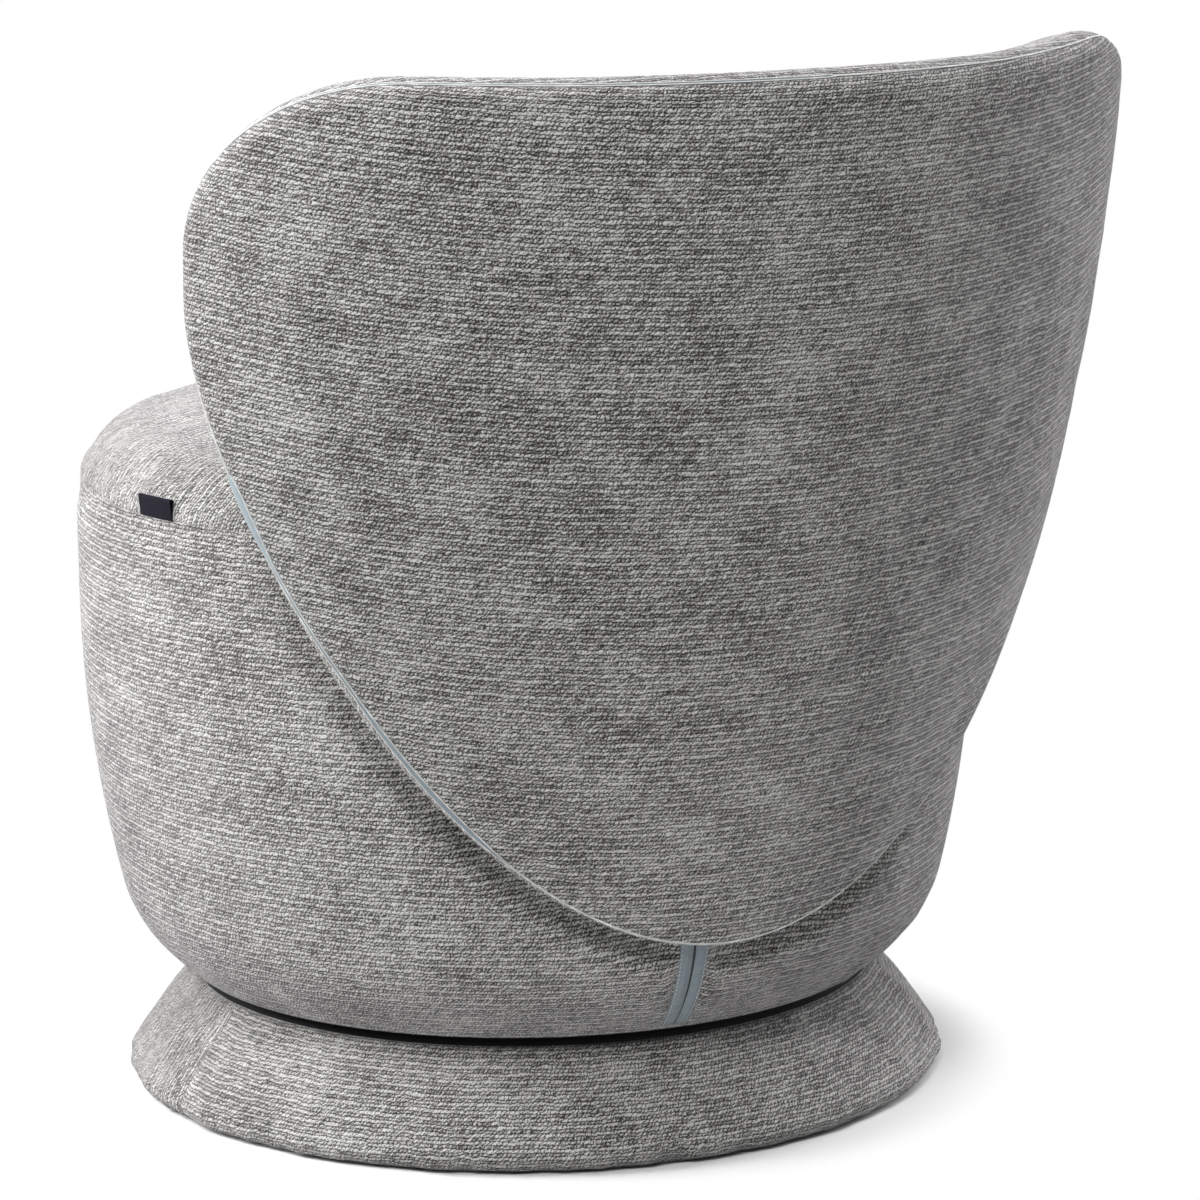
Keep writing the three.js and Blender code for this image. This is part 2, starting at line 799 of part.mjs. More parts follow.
function addSeatSoftParts() {
  const side = sideLine();
  const top = topLine();
  const slotWidth = 2 * rearZip.tapeWidth + rearZip.slit + 2 * clearance;
  const slot = arcStrip(-cloth, 3 * cloth, zipLow - clearance / tuck.radius, zipHigh, 0, slotWidth);
  let sideCover = turned(skinProfile(side, cloth), facets.round).subtract(slot);
  sideCover = boredForFixings(sideCover, fixing.spacerRadius + clearance);
  addPiece("seat_side_cover", "upholstery", sideCover);
  const inside = beside(top, cloth);
  const middle = point(0, inside[inside.length - 1].y);
  const topSkin = [middle, ...inside.slice(0, -1).reverse(), ...top];
  addPiece("seat_top_cover", "upholstery", turned(topSkin, facets.round));

  const padSide = beside(side, cloth + clearance).slice(2);
  const padTop = drum.seamHeight - 3 * cloth - clearance;
  const outer = padSide.filter((p) => p.y < padTop && p.y > drum.rimHeight + cloth + clearance);
  const wrapOut = frame.wrapThickness + clearance;
  const highRadius = wrapRadius(frame.ringTop) + wrapOut;
  const lowZ = outer[0].y;
  const inner = [
    point(highRadius, padTop),
    point(highRadius, frame.ringTop),
    point(wrapRadius(lowZ) + wrapOut, lowZ),
  ];
  const rim = outer[outer.length - 1];
  let sidePad = turned(closed([...outer, point(rim.x, padTop), ...inner]), facets.round);
  sidePad = boredForFixings(sidePad, fixing.spacerRadius + clearance);
  addPiece("seat_side_foam", "foam", sidePad.subtract(sliderChannel()));

  const crown = beside(top, cloth + clearance);
  const core = highRadius - clearance;
  const springTop = cushionLow + 2 * spring.wireRadius + spring.archHeight + clearance;
  const springRim = ringInnerRadius + spring.ringBearing + spring.clipMargin;
  const cushion = [
    point(0, springTop),
    point(ringInnerRadius, springTop),
    point(springRim, springTop - spring.archHeight),
    point(springRim, cushionLow),
    point(core, cushionLow),
    point(core, padTop + clearance),
    point(crown[0].x, padTop + clearance),
    ...crown.slice(1, -1),
    point(0, crown[crown.length - 1].y),
  ];
  addPiece("seat_cushion_foam", "foam", turned(cushion, facets.round));
}

// Back: one bent surface carries the shell, its pads and its covers

/** How far up the back a height lies, from 0 at the tip to 1 at the top. */
const backShare = (z) => (z - back.tipHeight) / (back.topHeight - back.tipHeight);

/** Radius of the back's outer surface at a height. */
function backRadius(z) {
  const share = THREE.MathUtils.clamp(backShare(z), 0, 1);
  return backLowRadius + (backTopRadius - backLowRadius) * (1 - (1 - share) ** back.flarePower);
}

/** How far the back's arc has moved to the rear at a height. */
const backRecline = (z) => back.recline * Math.max(backShare(z), 0) ** back.reclinePower;

/** Radius at which the back's inner face touches the drum, seen from the back's own arc centre. */
function drumFace(angle, z) {
  const shift = backRecline(z);
  const radius = drumRadius(Math.min(z, drum.seamHeight)) + back.drumGap;
  return -shift * Math.cos(angle) + Math.sqrt(radius ** 2 - (shift * Math.sin(angle)) ** 2);
}

/** Radius of the back's inner face: against the drum, and above the seam up to its free top. */
function innerRadius(angle, z) {
  if (z <= drum.seamHeight) return drumFace(angle, z);
  const share = (z - drum.seamHeight) / (back.topHeight - drum.seamHeight);
  const top = backTopRadius - back.topThickness;
  return THREE.MathUtils.lerp(drumFace(angle, drum.seamHeight), top, Math.min(share, 1));
}

/** The back's whole thickness at a place. */
const backThickness = (angle, z) => backRadius(z) - innerRadius(angle, z);

/** The half outline of the back, from its tip up one wing to the middle of its top. */
function halfOutline() {
  const { tipHeight, topHeight, shoulderDrop, wingHeight, cornerHeight, halfAngle } = back;
  const line = [];
  const lowSteps = facets.leafSide;
  for (let i = 0; i <= lowSteps; i++) {
    const share = 1 - Math.cos((i / lowSteps) * (Math.PI / 2));
    const angle = halfAngle * Math.sqrt(1 - (1 - share) ** back.leafPower);
    line.push([angle, tipHeight + (wingHeight - tipHeight) * share]);
  }
  line.push([halfAngle, cornerHeight]);
  const corner = facets.leafCorner;
  const shoulder = topHeight - shoulderDrop;
  for (let i = 1; i <= corner; i++) {
    const turn = (i / corner) * (Math.PI / 2);
    const angle = back.cornerAngle + (halfAngle - back.cornerAngle) * Math.cos(turn);
    line.push([angle, cornerHeight + (shoulder - cornerHeight) * Math.sin(turn)]);
  }
  const top = facets.leafTop;
  for (let i = 1; i <= top; i++) {
    const share = 1 - i / top;
    line.push([back.cornerAngle * share, topHeight - shoulderDrop * share ** 2]);
  }
  return line;
}

/** The whole outline as [angle, height] places, once round from the tip. */
function wholeOutline() {
  const half = halfOutline();
  const other = half.slice(1, -1).reverse().map(([angle, z]) => [-angle, z]);
  return [...half, ...other];
}

const outline = wholeOutline();

/** A place in the back: a share of the way from its centre to the outline, and a depth. */
function backPoint([edgeAngle, edgeZ], share, depth) {
  const angle = edgeAngle * share;
  const z = back.centreHeight + (edgeZ - back.centreHeight) * share;
  const place = polar(backRadius(z) - depth, angle, z);
  place.y += backRecline(z);
  return place;
}

/** How many millimetres of the surface one whole share covers near the outline. */
function shareLength(edge) {
  const near = 0.98;
  return backPoint(edge, 1, 0).distanceTo(backPoint(edge, near, 0)) / (1 - near);
}

/** The thickness at a share of the way to the outline. */
function thicknessAt([edgeAngle, edgeZ], share) {
  const z = back.centreHeight + (edgeZ - back.centreHeight) * share;
  return backThickness(edgeAngle * share, z);
}

/** In-plane reach of the rounded edge at one place of the outline. */
const edgeReach = (edge) => Math.min(back.edgeRound, thicknessAt(edge, 1) / 2);

/** A point on the rounded edge, at an offset below the skin. Angle 0 is the outer face. */
function edgePoint(edge, turn, offset) {
  const reach = edgeReach(edge);
  const inset = offset + (reach - offset) * (1 - Math.sin(turn));
  const share = 1 - inset / shareLength(edge);
  const half = thicknessAt(edge, share) / 2;
  return backPoint(edge, share, offset + (half - offset) * (1 - Math.cos(turn)));
}

/** The stations between the centre and the shell's edge that every layer shares. */
const faceShares = () =>
  Array.from({ length: facets.leafFace }, (_, i) => (shell.edgeShare * (i + 1)) / facets.leafFace);

/** Points across the shell's stations, at a depth that a function gives. */
const stationPoints = (edge, depthAt) =>
  faceShares().map((share) => backPoint(edge, share, depthAt(edge, share)));

/** Points across one whole face from the centre to where the edge starts to round. */
function facePoints(edge, depthAt) {
  const last = 1 - edgeReach(edge) / shareLength(edge);
  return [...stationPoints(edge, depthAt), backPoint(edge, last, depthAt(edge, last))];
}

const outerSide = (offset) => () => offset;
const innerSide = (offset) => (edge, share) => thicknessAt(edge, share) - offset;

/** Depth of the plywood shell's outer face, plus a given amount. */
const shellSide = (extra) => (edge, share) =>
  shell.coverDepth + shell.padShare * thicknessAt(edge, share) + extra;

/** Half the width of the open strip between the two covers at a place of the outline. */
function stripHalf(edge) {
  const seam = clearance / back.edgeRound;
  return edge[1] < panelZip.endHeight ? panelZip.halfAngle : seam;
}

/** The rounded edge's stations: under the outer cover, and under the inner cover. */
function rimTurns(edge) {
  const outerEnd = back.seamAngle - stripHalf(edge);
  const innerArc = Math.PI - back.seamAngle - stripHalf(edge);
  const outer = [];
  const inner = [];
  const { leafOuterRim, leafInnerRim } = facets;
  for (let i = 1; i <= leafOuterRim; i++) outer.push((outerEnd * i) / leafOuterRim);
  for (let i = 1; i <= leafInnerRim; i++) inner.push(Math.PI - (innerArc * i) / leafInnerRim);
  return { outer, inner };
}

/** A closed body from one line of points for each place of the outline, pole to pole. */
function leafBody(startDepth, endDepth, turnAt, lineAt) {
  const centre = [0, back.centreHeight];
  const lines = outline.map((edge) => lineAt(edge));
  const rings = lines[0].map((_, i) => lines.map((line) => line[i]));
  const poles = [backPoint(centre, 1, startDepth), backPoint(centre, 1, endDepth)];
  return lofted([[poles[0]], ...rings, [poles[1]]], turnAt);
}

/** One cover: a face, its share of the rounded edge, and the same again one cloth deeper. */
function leafCover(pole, poleInside, side, rimOf) {
  return leafBody(pole, poleInside, facets.leafFace + 1 + rimOf(outline[0]).length, (edge) => {
    const rimAt = (offset) => rimOf(edge).map((turn) => edgePoint(edge, turn, offset));
    const face = (offset) => facePoints(edge, side(offset));
    return [...face(0), ...rimAt(0), ...rimAt(cloth).reverse(), ...face(cloth).reverse()];
  });
}

/** A layer between two depths that ends square at the shell's edge. */
function leafLayer(pole, poleInside, outer, inner) {
  return leafBody(pole, poleInside, facets.leafFace, (edge) => [
    ...stationPoints(edge, outer),
    ...stationPoints(edge, inner).reverse(),
  ]);
}

/** The pad between the shell and the inner cover, which also fills the whole rounded edge. */
function innerPadBody(poleShell, pole, skin) {
  const pocketDepth = shellSide(shell.thickness + clearance);
  const turnAt = facets.leafFace + 2 + facets.leafOuterRim;
  return leafBody(poleShell + shell.thickness + clearance, pole - skin, turnAt, (edge) => {
    const beyond = shell.edgeShare + clearance / shareLength(edge);
    const pocket = stationPoints(edge, pocketDepth);
    pocket[pocket.length - 1] = backPoint(edge, beyond, pocketDepth(edge, beyond));
    const lip = backPoint(edge, beyond, skin);
    const { outer, inner } = rimTurns(edge);
    const rim = [0, ...outer, ...inner.reverse()].map((turn) => edgePoint(edge, turn, skin));
    return [...pocket, lip, ...rim, ...facePoints(edge, innerSide(skin)).reverse()];
  });
}

/** The zip tape along the panel's edge, from one wing down round the tip to the other. */
function panelZipBody() {
  const edges = outline.filter((edge) => edge[1] < panelZip.endHeight);
  const sections = edges.sort((a, b) => a[0] - b[0]).map((edge) => {
    const half = panelZip.halfAngle - clearance / edgeReach(edge);
    const turns = [-half, 0, half].map((turn) => back.seamAngle + turn);
    const deep = panelZip.recess + panelZip.thickness;
    const outside = turns.map((turn) => edgePoint(edge, turn, panelZip.recess));
    const inside = turns.map((turn) => edgePoint(edge, turn, deep));
    return [...outside, ...inside.reverse()];
  });
  return sweptSections(sections);
}

function addBack() {
  const pole = backThickness(0, back.centreHeight);
  const poleShell = shell.coverDepth + shell.padShare * pole;
  const skin = cloth + clearance;
  const boreRadius = fixing.spacerRadius + clearance;

  const outerCover = leafCover(0, cloth, outerSide, (edge) => rimTurns(edge).outer);
  addPiece("back_outer_cover", "upholstery", outerCover);
  const innerCover = leafCover(pole, pole - cloth, innerSide, (edge) => rimTurns(edge).inner);
  addPiece("back_inner_cover", "upholstery", boredForFixings(innerCover, boreRadius));
  const outerPad = leafLayer(skin, poleShell - clearance, outerSide(skin), shellSide(-clearance));
  addPiece("back_outer_foam", "foam", outerPad);
  const board = leafLayer(
    poleShell, poleShell + shell.thickness, shellSide(0), shellSide(shell.thickness));
  addPiece("back_shell", "plywood", boredForFixings(board, fixing.boltHoleRadius));
  const innerPad = innerPadBody(poleShell, pole, skin);
  addPiece("back_inner_foam", "foam", boredForFixings(innerPad, boreRadius));
  addPiece("back_zip_tape", "zipTape", panelZipBody());
}

// Bolts that hold the back on the seat frame

function addFixings() {
  const blockLow = fixing.heights[0] - fixing.blockMargin;
  const blockTop = fixing.heights[fixing.heights.length - 1] + fixing.blockMargin - clearance;
  const lowOuter = wrapRadius(blockLow) - frame.wrapSeat;
  const topOuter = wrapRadius(blockTop) - frame.wrapSeat;
  const flat = Math.cos(Math.asin(fixing.blockWidth / 2 / lowOuter));
  const inner = lowOuter * flat - fixing.blockDepth;
  const shape = new THREE.Shape([
    point(inner, blockLow),
    point(lowOuter * flat, blockLow),
    point(topOuter * flat, blockTop),
    point(inner, blockTop),
  ]);
  for (const [name, side] of [["left", -1], ["right", 1]]) {
    const geometry = new THREE.ExtrudeGeometry(shape, {
      depth: fixing.blockWidth,
      bevelEnabled: false,
    });
    geometry.translate(0, 0, -fixing.blockWidth / 2);
    geometry.applyMatrix4(
      new THREE.Matrix4().makeBasis(
        polar(1, side * fixing.angle, 0),
        new THREE.Vector3(0, 0, 1),
        polar(1, side * fixing.angle + Math.PI / 2, 0)));
    addPiece(`back_block_${name}`, "plywood", boredForFixings(solid(geometry), fixing.boltHoleRadius));
  }
  eachFixing((angle, z, number) => {
    const from = wrapRadius(z + fixing.spacerRadius) + frame.wrapThickness + clearance;
    const rear = backRadius(z) + backRecline(z) * Math.cos(angle);
    const depth = shell.coverDepth + shell.padShare * backThickness(angle, z);
    const shellInner = rear - depth - shell.thickness;
    const to = shellInner - fixing.shellSeat;
    const spacer = radialRod(fixing.spacerRadius, angle, z, from, to, facets.screw);
    const bore = radialRod(
      fixing.boltHoleRadius, angle, z, from - cutOverrun, to + cutOverrun, facets.screw);
    addPiece(`back_spacer_${number}`, "plate", spacer.subtract(bore));
    const headFace = inner - clearance;
    const shank = radialRod(
      fixing.boltRadius, angle, z, headFace - fixing.headHeight / 2, shellInner + shell.thickness / 2,
      facets.screw);
    const head = radialRod(fixing.headRadius, angle, z, headFace - fixing.headHeight, headFace, 6);
    addPiece(`back_bolt_${number}`, "plate", shank.add(head));
  });
}

// Label tag, blank, sewn into the seam

function addTag() {
  const half = tag.width / 2 / drum.sideRadius;
  const sections = [];
  const steps = 4;
  for (let i = 0; i <= steps; i++) {
    const angle = tag.angle - half + (2 * half * i) / steps;
    const low = drum.seamHeight + clearance;
    const inner = drum.sideRadius - drum.seamTuck + clearance;
    sections.push([
      polar(inner, angle, low),
      polar(inner + tag.thickness, angle, low),
      polar(inner + tag.thickness + tag.lean, angle, low + tag.height),
      polar(inner + tag.lean, angle, low + tag.height),
    ]);
  }
  addPiece("label_tag", "label", sweptSections(sections));
}

addPlinth();
addBearing();
addSeatFrame();
addRearZip();
addSeatSoftParts();
addBack();
addFixings();
addTag();

// The origin is the centre of the chair's footprint box, on the floor.
const extent = new THREE.Box3().setFromObject(group);
group.position.y = -(extent.min.y + extent.max.y) / 2;

export default group;
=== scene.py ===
"""Looks of a round swivel cuddle chair: chenille covers over foam, zips, seams, tag and bare frame."""

import json
import logging
import math
from dataclasses import dataclass, field
from enum import Enum
from typing import Any, Callable, Mapping, Optional, Sequence, Union

import bmesh
import bpy
import numpy as np
from mathutils import Matrix, Vector, kdtree


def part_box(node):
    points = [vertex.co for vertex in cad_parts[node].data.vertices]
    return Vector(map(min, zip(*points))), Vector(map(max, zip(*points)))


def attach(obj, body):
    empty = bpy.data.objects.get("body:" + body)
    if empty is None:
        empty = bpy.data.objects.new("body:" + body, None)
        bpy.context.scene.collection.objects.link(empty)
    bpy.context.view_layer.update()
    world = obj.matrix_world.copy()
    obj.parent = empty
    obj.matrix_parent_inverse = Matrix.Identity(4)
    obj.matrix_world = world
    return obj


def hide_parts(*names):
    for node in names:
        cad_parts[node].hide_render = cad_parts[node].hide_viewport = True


LOG = logging.getLogger("cuddle_chair")

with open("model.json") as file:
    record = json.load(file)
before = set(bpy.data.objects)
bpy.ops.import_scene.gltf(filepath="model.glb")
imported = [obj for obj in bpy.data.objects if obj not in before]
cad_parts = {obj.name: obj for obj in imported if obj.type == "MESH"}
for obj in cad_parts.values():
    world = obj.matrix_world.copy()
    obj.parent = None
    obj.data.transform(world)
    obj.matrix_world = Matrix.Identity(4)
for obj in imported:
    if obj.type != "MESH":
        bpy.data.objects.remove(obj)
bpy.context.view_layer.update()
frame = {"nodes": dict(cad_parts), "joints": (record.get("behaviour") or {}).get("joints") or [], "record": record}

MM = 0.001
TURN = 2 * math.pi
SWIVEL = next(joint for joint in frame["joints"] if joint["name"] == "swivel")
AXIS_Y = SWIVEL["pos_m"][1]
CLOTH_MAP = "cloth"
Colour = tuple[float, float, float]
Cover = Callable[[np.ndarray], np.ndarray]


class Body(Enum):
    """The bodies that pieces ride on."""

    BASE = "base"
    SEAT = "seat"


class Slot(Enum):
    """The record's material slots."""

    UPHOLSTERY = "upholstery"
    FOAM = "foam"
    LINING = "dust_cloth"
    PLYWOOD = "plywood"
    HARDBOARD = "hardboard"
    ZINC = "zinc_plate"
    SPRING = "spring_steel"
    ZIP_TAPE = "zip_tape"
    ZIP_TEETH = "zip_teeth"
    ZIP_SLIDER = "zip_slider"
    LABEL = "label_cloth"
    GLIDE = "glide_plastic"


# Shader writing


class Signal:
    """A number in a shader. Sums and products of signals add Math nodes."""

    def __init__(self, shader: "Shader", socket: bpy.types.NodeSocket) -> None:
        """Wraps an output socket of a shader's node."""
        self.shader = shader
        self.socket = socket

    def __add__(self, other: "Number") -> "Signal":
        """This number plus another."""
        return self.shader.math("ADD", self, other)

    __radd__ = __add__

    def __sub__(self, other: "Number") -> "Signal":
        """This number less another."""
        return self.shader.math("SUBTRACT", self, other)

    def __rsub__(self, other: "Number") -> "Signal":
        """Another number less this one."""
        return self.shader.math("SUBTRACT", other, self)

    def __mul__(self, other: "Number") -> "Signal":
        """This number times another."""
        return self.shader.math("MULTIPLY", self, other)

    __rmul__ = __mul__

    def __truediv__(self, other: "Number") -> "Signal":
        """This number over another."""
        return self.shader.math("DIVIDE", self, other)

    def __pow__(self, other: "Number") -> "Signal":
        """This number to a power."""
        return self.shader.math("POWER", self, other)

    def floor(self) -> "Signal":
        """The whole part."""
        return self.shader.math("FLOOR", self)

    def fraction(self) -> "Signal":
        """The part after the point."""
        return self.shader.math("FRACT", self)

    def distance(self) -> "Signal":
        """The number without its sign."""
        return self.shader.math("ABSOLUTE", self)

    def wave(self) -> "Signal":
        """The sine of the number."""
        return self.shader.math("SINE", self)

    def hump(self) -> "Signal":
        """0 at both ends of a run from 0 to 1, and 1 in its middle."""
        return 4 * self * (1 - self)

    def rising(self, low: float, high: float) -> "Signal":
        """0 below low, 1 above high, and smooth between them."""
        inputs = {"Value": self, "From Min": low, "From Max": high}
        settings = {"interpolation_type": "SMOOTHSTEP"}
        return self.shader.signal("ShaderNodeMapRange", settings, inputs)


Number = Union[Signal, float]


class Nodes:
    """A node tree that is written in the script."""

    def __init__(self, tree: bpy.types.NodeTree) -> None:
        """Takes the tree that nodes are added to."""
        self.tree = tree

    def node(
        self, kind: str, settings: Optional[Mapping[str, Any]] = None, inputs: Optional[Mapping] = None
    ) -> bpy.types.Node:
        """Adds any node.

        Args:
            kind: The node's type.
            settings: Its properties, which are set first. "stops" are a ramp's places and colours.
            inputs: Values, signals or sockets for its inputs, by name or index.

        Returns:
            The new node.
        """
        node = self.tree.nodes.new(kind)
        for name, value in (settings or {}).items():
            if name == "stops":
                ramp = node.color_ramp.elements
                while len(ramp) < len(value):
                    ramp.new(0.5)
                for element, (place, colour) in zip(ramp, value):
                    element.position = place
                    element.color = (*colour, 1)
            else:
                setattr(node, name, value)
        for name, value in (inputs or {}).items():
            socket = node.inputs[name]
            if isinstance(value, Signal):
                value = value.socket
            if isinstance(value, bpy.types.NodeSocket):
                self.tree.links.new(value, socket)
            elif isinstance(value, tuple) and socket.type == "RGBA":
                socket.default_value = (*value, 1)
            else:
                socket.default_value = value
        return node

    def output(
        self, kind: str, settings: Optional[Mapping[str, Any]] = None, inputs: Optional[Mapping] = None
    ) -> bpy.types.NodeSocket:
        """The first output of a new node."""
        return self.node(kind, settings, inputs).outputs[0]


class Shader(Nodes):
    """A node material that is written as Python expressions."""

    def __init__(self, name: str) -> None:
        """Starts an empty material with a name."""
        self.material = bpy.data.materials.new(name)
        self.material.use_nodes = True
        super().__init__(self.material.node_tree)
        self.tree.nodes.clear()

    def signal(self, kind: str, settings: Mapping[str, Any], inputs: Mapping) -> Signal:
        """The first output of a new node as a number."""
        return Signal(self, self.output(kind, settings, inputs))

    def math(self, operation: str, *values: Number) -> Signal:
        """A Math node on one or two numbers."""
        return self.signal("ShaderNodeMath", {"operation": operation}, dict(enumerate(values)))

    def place(self, x: Number, y: Number, z: Number = 0.0) -> bpy.types.NodeSocket:
        """Three numbers as one vector."""
        return self.output("ShaderNodeCombineXYZ", {}, {0: x, 1: y, 2: z})

    def noise(self, where: bpy.types.NodeSocket, size: float, detail: float = 2.0) -> Signal:
        """Smooth noise from 0 to 1, with blobs of about a size in metres."""
        inputs = {"Vector": where, "Scale": 1 / size, "Detail": detail}
        return self.signal("ShaderNodeTexNoise", {"noise_dimensions": "3D"}, inputs)

    def chance(self, where: bpy.types.NodeSocket) -> Signal:
        """A random number from 0 to 1 for each place."""
        return self.signal("ShaderNodeTexWhiteNoise", {"noise_dimensions": "3D"}, {"Vector": where})

    def on_cloth(self) -> tuple[Signal, Signal]:
        """The place on the flat fabric, in metres along and across its rows."""
        uv = self.output("ShaderNodeUVMap", {"uv_map": CLOTH_MAP})
        parts = self.node("ShaderNodeSeparateXYZ", {}, {0: uv}).outputs
        return Signal(self, parts[0]), Signal(self, parts[1])

    def on_object(self) -> tuple[bpy.types.NodeSocket, Signal, Signal, Signal]:
        """The place in the object as a vector and as its three numbers, in metres."""
        where = self.node("ShaderNodeTexCoord").outputs["Object"]
        parts = self.node("ShaderNodeSeparateXYZ", {}, {0: where}).outputs
        return where, Signal(self, parts[0]), Signal(self, parts[1]), Signal(self, parts[2])

    def mix(self, share: Number, first: Any, second: Any) -> bpy.types.NodeSocket:
        """A colour between two colours."""
        settings = {"data_type": "RGBA", "clamp_factor": True}
        return self.node("ShaderNodeMix", settings, {0: share, 6: first, 7: second}).outputs[2]

    def ramp(self, share: Number, stops: Sequence[tuple[float, Colour]]) -> bpy.types.NodeSocket:
        """A colour from a ramp of stops."""
        return self.output("ShaderNodeValToRGB", {"stops": stops}, {0: share})

    def bump(self, height: Signal, distance: float, strength: float = 1.0) -> bpy.types.NodeSocket:
        """A normal that follows a height from 0 to 1 over a distance in metres."""
        inputs = {"Height": height, "Distance": distance, "Strength": strength}
        return self.output("ShaderNodeBump", {}, inputs)

    def surface(self, **inputs: Any) -> bpy.types.Material:
        """Ends the material in a Principled shader.

        Args:
            inputs: Values for its sockets, named with underscores for spaces.

        Returns:
            The finished material.
        """
        named = {name.replace("_", " "): value for name, value in inputs.items()}
        skin = self.output("ShaderNodeBsdfPrincipled", {}, named)
        self.node("ShaderNodeOutputMaterial", {}, {"Surface": skin})
        return self.material


# Finishes


def toned(colour: Colour, factor: float, lift: float = 0.0) -> Colour:
    """A colour made darker or lighter, at most white."""
    return tuple(min(1.0, factor * part + lift) for part in colour)


@dataclass(frozen=True)
class Chenille:
    """Grey chenille: rows of short slanting tufts, light tips over a dark ground, with painted shade in the
    hollows between tufts.
    """

    name: str = "chenille"
    row_pitch: float = 2.75 * MM
    tuft_pitch: float = 3.3 * MM
    slant: float = -0.8
    fibre: float = 1.15 * MM
    relief: float = 1.35 * MM
    ground: Colour = (0.026, 0.024, 0.021)
    shade: Colour = (0.108, 0.105, 0.094)
    middle: Colour = (0.325, 0.319, 0.300)
    tip: Colour = (0.76, 0.752, 0.732)
    sheen_tint: Colour = (0.90, 0.85, 0.94)
    sheen: float = 0.42
    sway_size: float = 8 * MM
    drift_size: float = 5 * MM
    streak_size: float = 8 * MM
    cloud_size: float = 42 * MM
    brushed_size: float = 130 * MM
    level: float = 0.51
    pile_tone_and_shade: float = 0.60
    row_tone: float = 0.20
    streak_tone: float = 0.26
    cloud_tone: float = 0.45
    brushed_tone: float = 0.30

    def pile(self, shader: Shader, along: Signal, across: Signal) -> tuple[Signal, Signal]:
        """The height of the pile and whether a row is an even or an odd one.

        Args:
            shader: The material's shader.
            along: The place along the rows, in metres.
            across: The place across them.

        Returns:
            The height about 0, and 0 or 1 for the row.
        """
        sway = shader.noise(shader.place(along * 0.6, across), self.sway_size, 2.0)
        rows = across / self.row_pitch + 1.3 * (sway - 0.5)
        row, inside = rows.floor(), rows.fraction()
        second = 2 * (row * 0.5).fraction()
        drift = shader.noise(shader.place(along, across, 0.41), self.drift_size, 1.0)
        start = 0.7 * shader.chance(shader.place(row, 3.0)) + 0.5 * second
        tufts = along / self.tuft_pitch - self.slant * inside + start + 2.0 * (drift - 0.5)
        tone = shader.chance(shader.place(tufts.floor(), row, 1.0))
        # Each tuft's dome shapes the bump and, through the colour, paints shade into the hollows between tufts and
        # rows.
        crown = (inside.hump() * tufts.fraction().hump()) ** 0.7
        fibre = shader.noise(shader.place(along, across, 0.23), self.fibre, 2.0)
        return 1.35 * (crown - 0.57) + 0.6 * (tone - 0.5) + 3.4 * (fibre - 0.5), second

    def make(self) -> bpy.types.Material:
        """The material, on the piece's cloth map."""
        shader = Shader(self.name)
        along, across = shader.on_cloth()
        pile, second = self.pile(shader, along, across)
        streak = shader.noise(shader.place(along * 0.16, across, 0.37), self.streak_size, 2.0)
        cloud = shader.noise(shader.place(along * 0.8, across, 0.51), self.cloud_size, 3.0)
        brushed = shader.noise(shader.place(along, across * 0.5, 0.73), self.brushed_size, 2.0)
        # Painted shade: lower pile gets a darker colour, partly the yarn's random tone and partly shade in the
        # hollows between tufts.
        light = self.level + self.pile_tone_and_shade * pile - self.row_tone * (second - 0.5)
        light = light + self.streak_tone * (streak - 0.5)
        light = light + self.cloud_tone * (cloud - 0.5) + self.brushed_tone * (brushed - 0.5)
        stops = [(0.05, self.ground), (0.30, self.shade), (0.55, self.middle), (0.95, self.tip)]
        return shader.surface(
            Base_Color=shader.ramp(light, stops),
            Roughness=0.92,
            Specular_IOR_Level=0.15,
            Sheen_Weight=self.sheen,
            Sheen_Roughness=0.42,
            Sheen_Tint=self.sheen_tint,
            Normal=shader.bump(0.5 + 0.4 * pile, self.relief, 1.0),
        )


@dataclass(frozen=True)
class TapeWeave:
    """Woven polyester tape with a fine twill."""

    name: str
    colour: Colour
    rib: float = 0.7 * MM
    cloud_size: float = 6 * MM
    relief: float = 0.12 * MM

    def make(self) -> bpy.types.Material:
        """The material, on object coordinates."""
        shader = Shader(self.name)
        where, x, y, z = shader.on_object()
        twill = ((x + y + 1.7 * z) * (TURN / self.rib)).wave() * 0.5 + 0.5
        cloud = shader.noise(where, self.cloud_size, 3.0)
        share = 0.25 * twill + 0.6 * cloud
        return shader.surface(
            Base_Color=shader.mix(share, toned(self.colour, 0.62), toned(self.colour, 1.35)),
            Roughness=0.8,
            Sheen_Weight=0.2,
            Normal=shader.bump(twill, self.relief, 0.6),
        )


@dataclass(frozen=True)
class Thread:
    """Sewing thread or cord with a fine twist."""

    name: str
    colour: Colour
    roughness: float = 0.6
    grain_size: float = 0.6 * MM
    relief: float = 0.1 * MM

    def make(self) -> bpy.types.Material:
        """The material, on object coordinates."""
        shader = Shader(self.name)
        where, _, _, _ = shader.on_object()
        grain = shader.noise(where, self.grain_size, 3.0)
        return shader.surface(
            Base_Color=shader.mix(grain.rising(0.3, 0.6), toned(self.colour, 0.72), self.colour),
            Roughness=self.roughness,
            Normal=shader.bump(grain, self.relief, 0.7),
        )


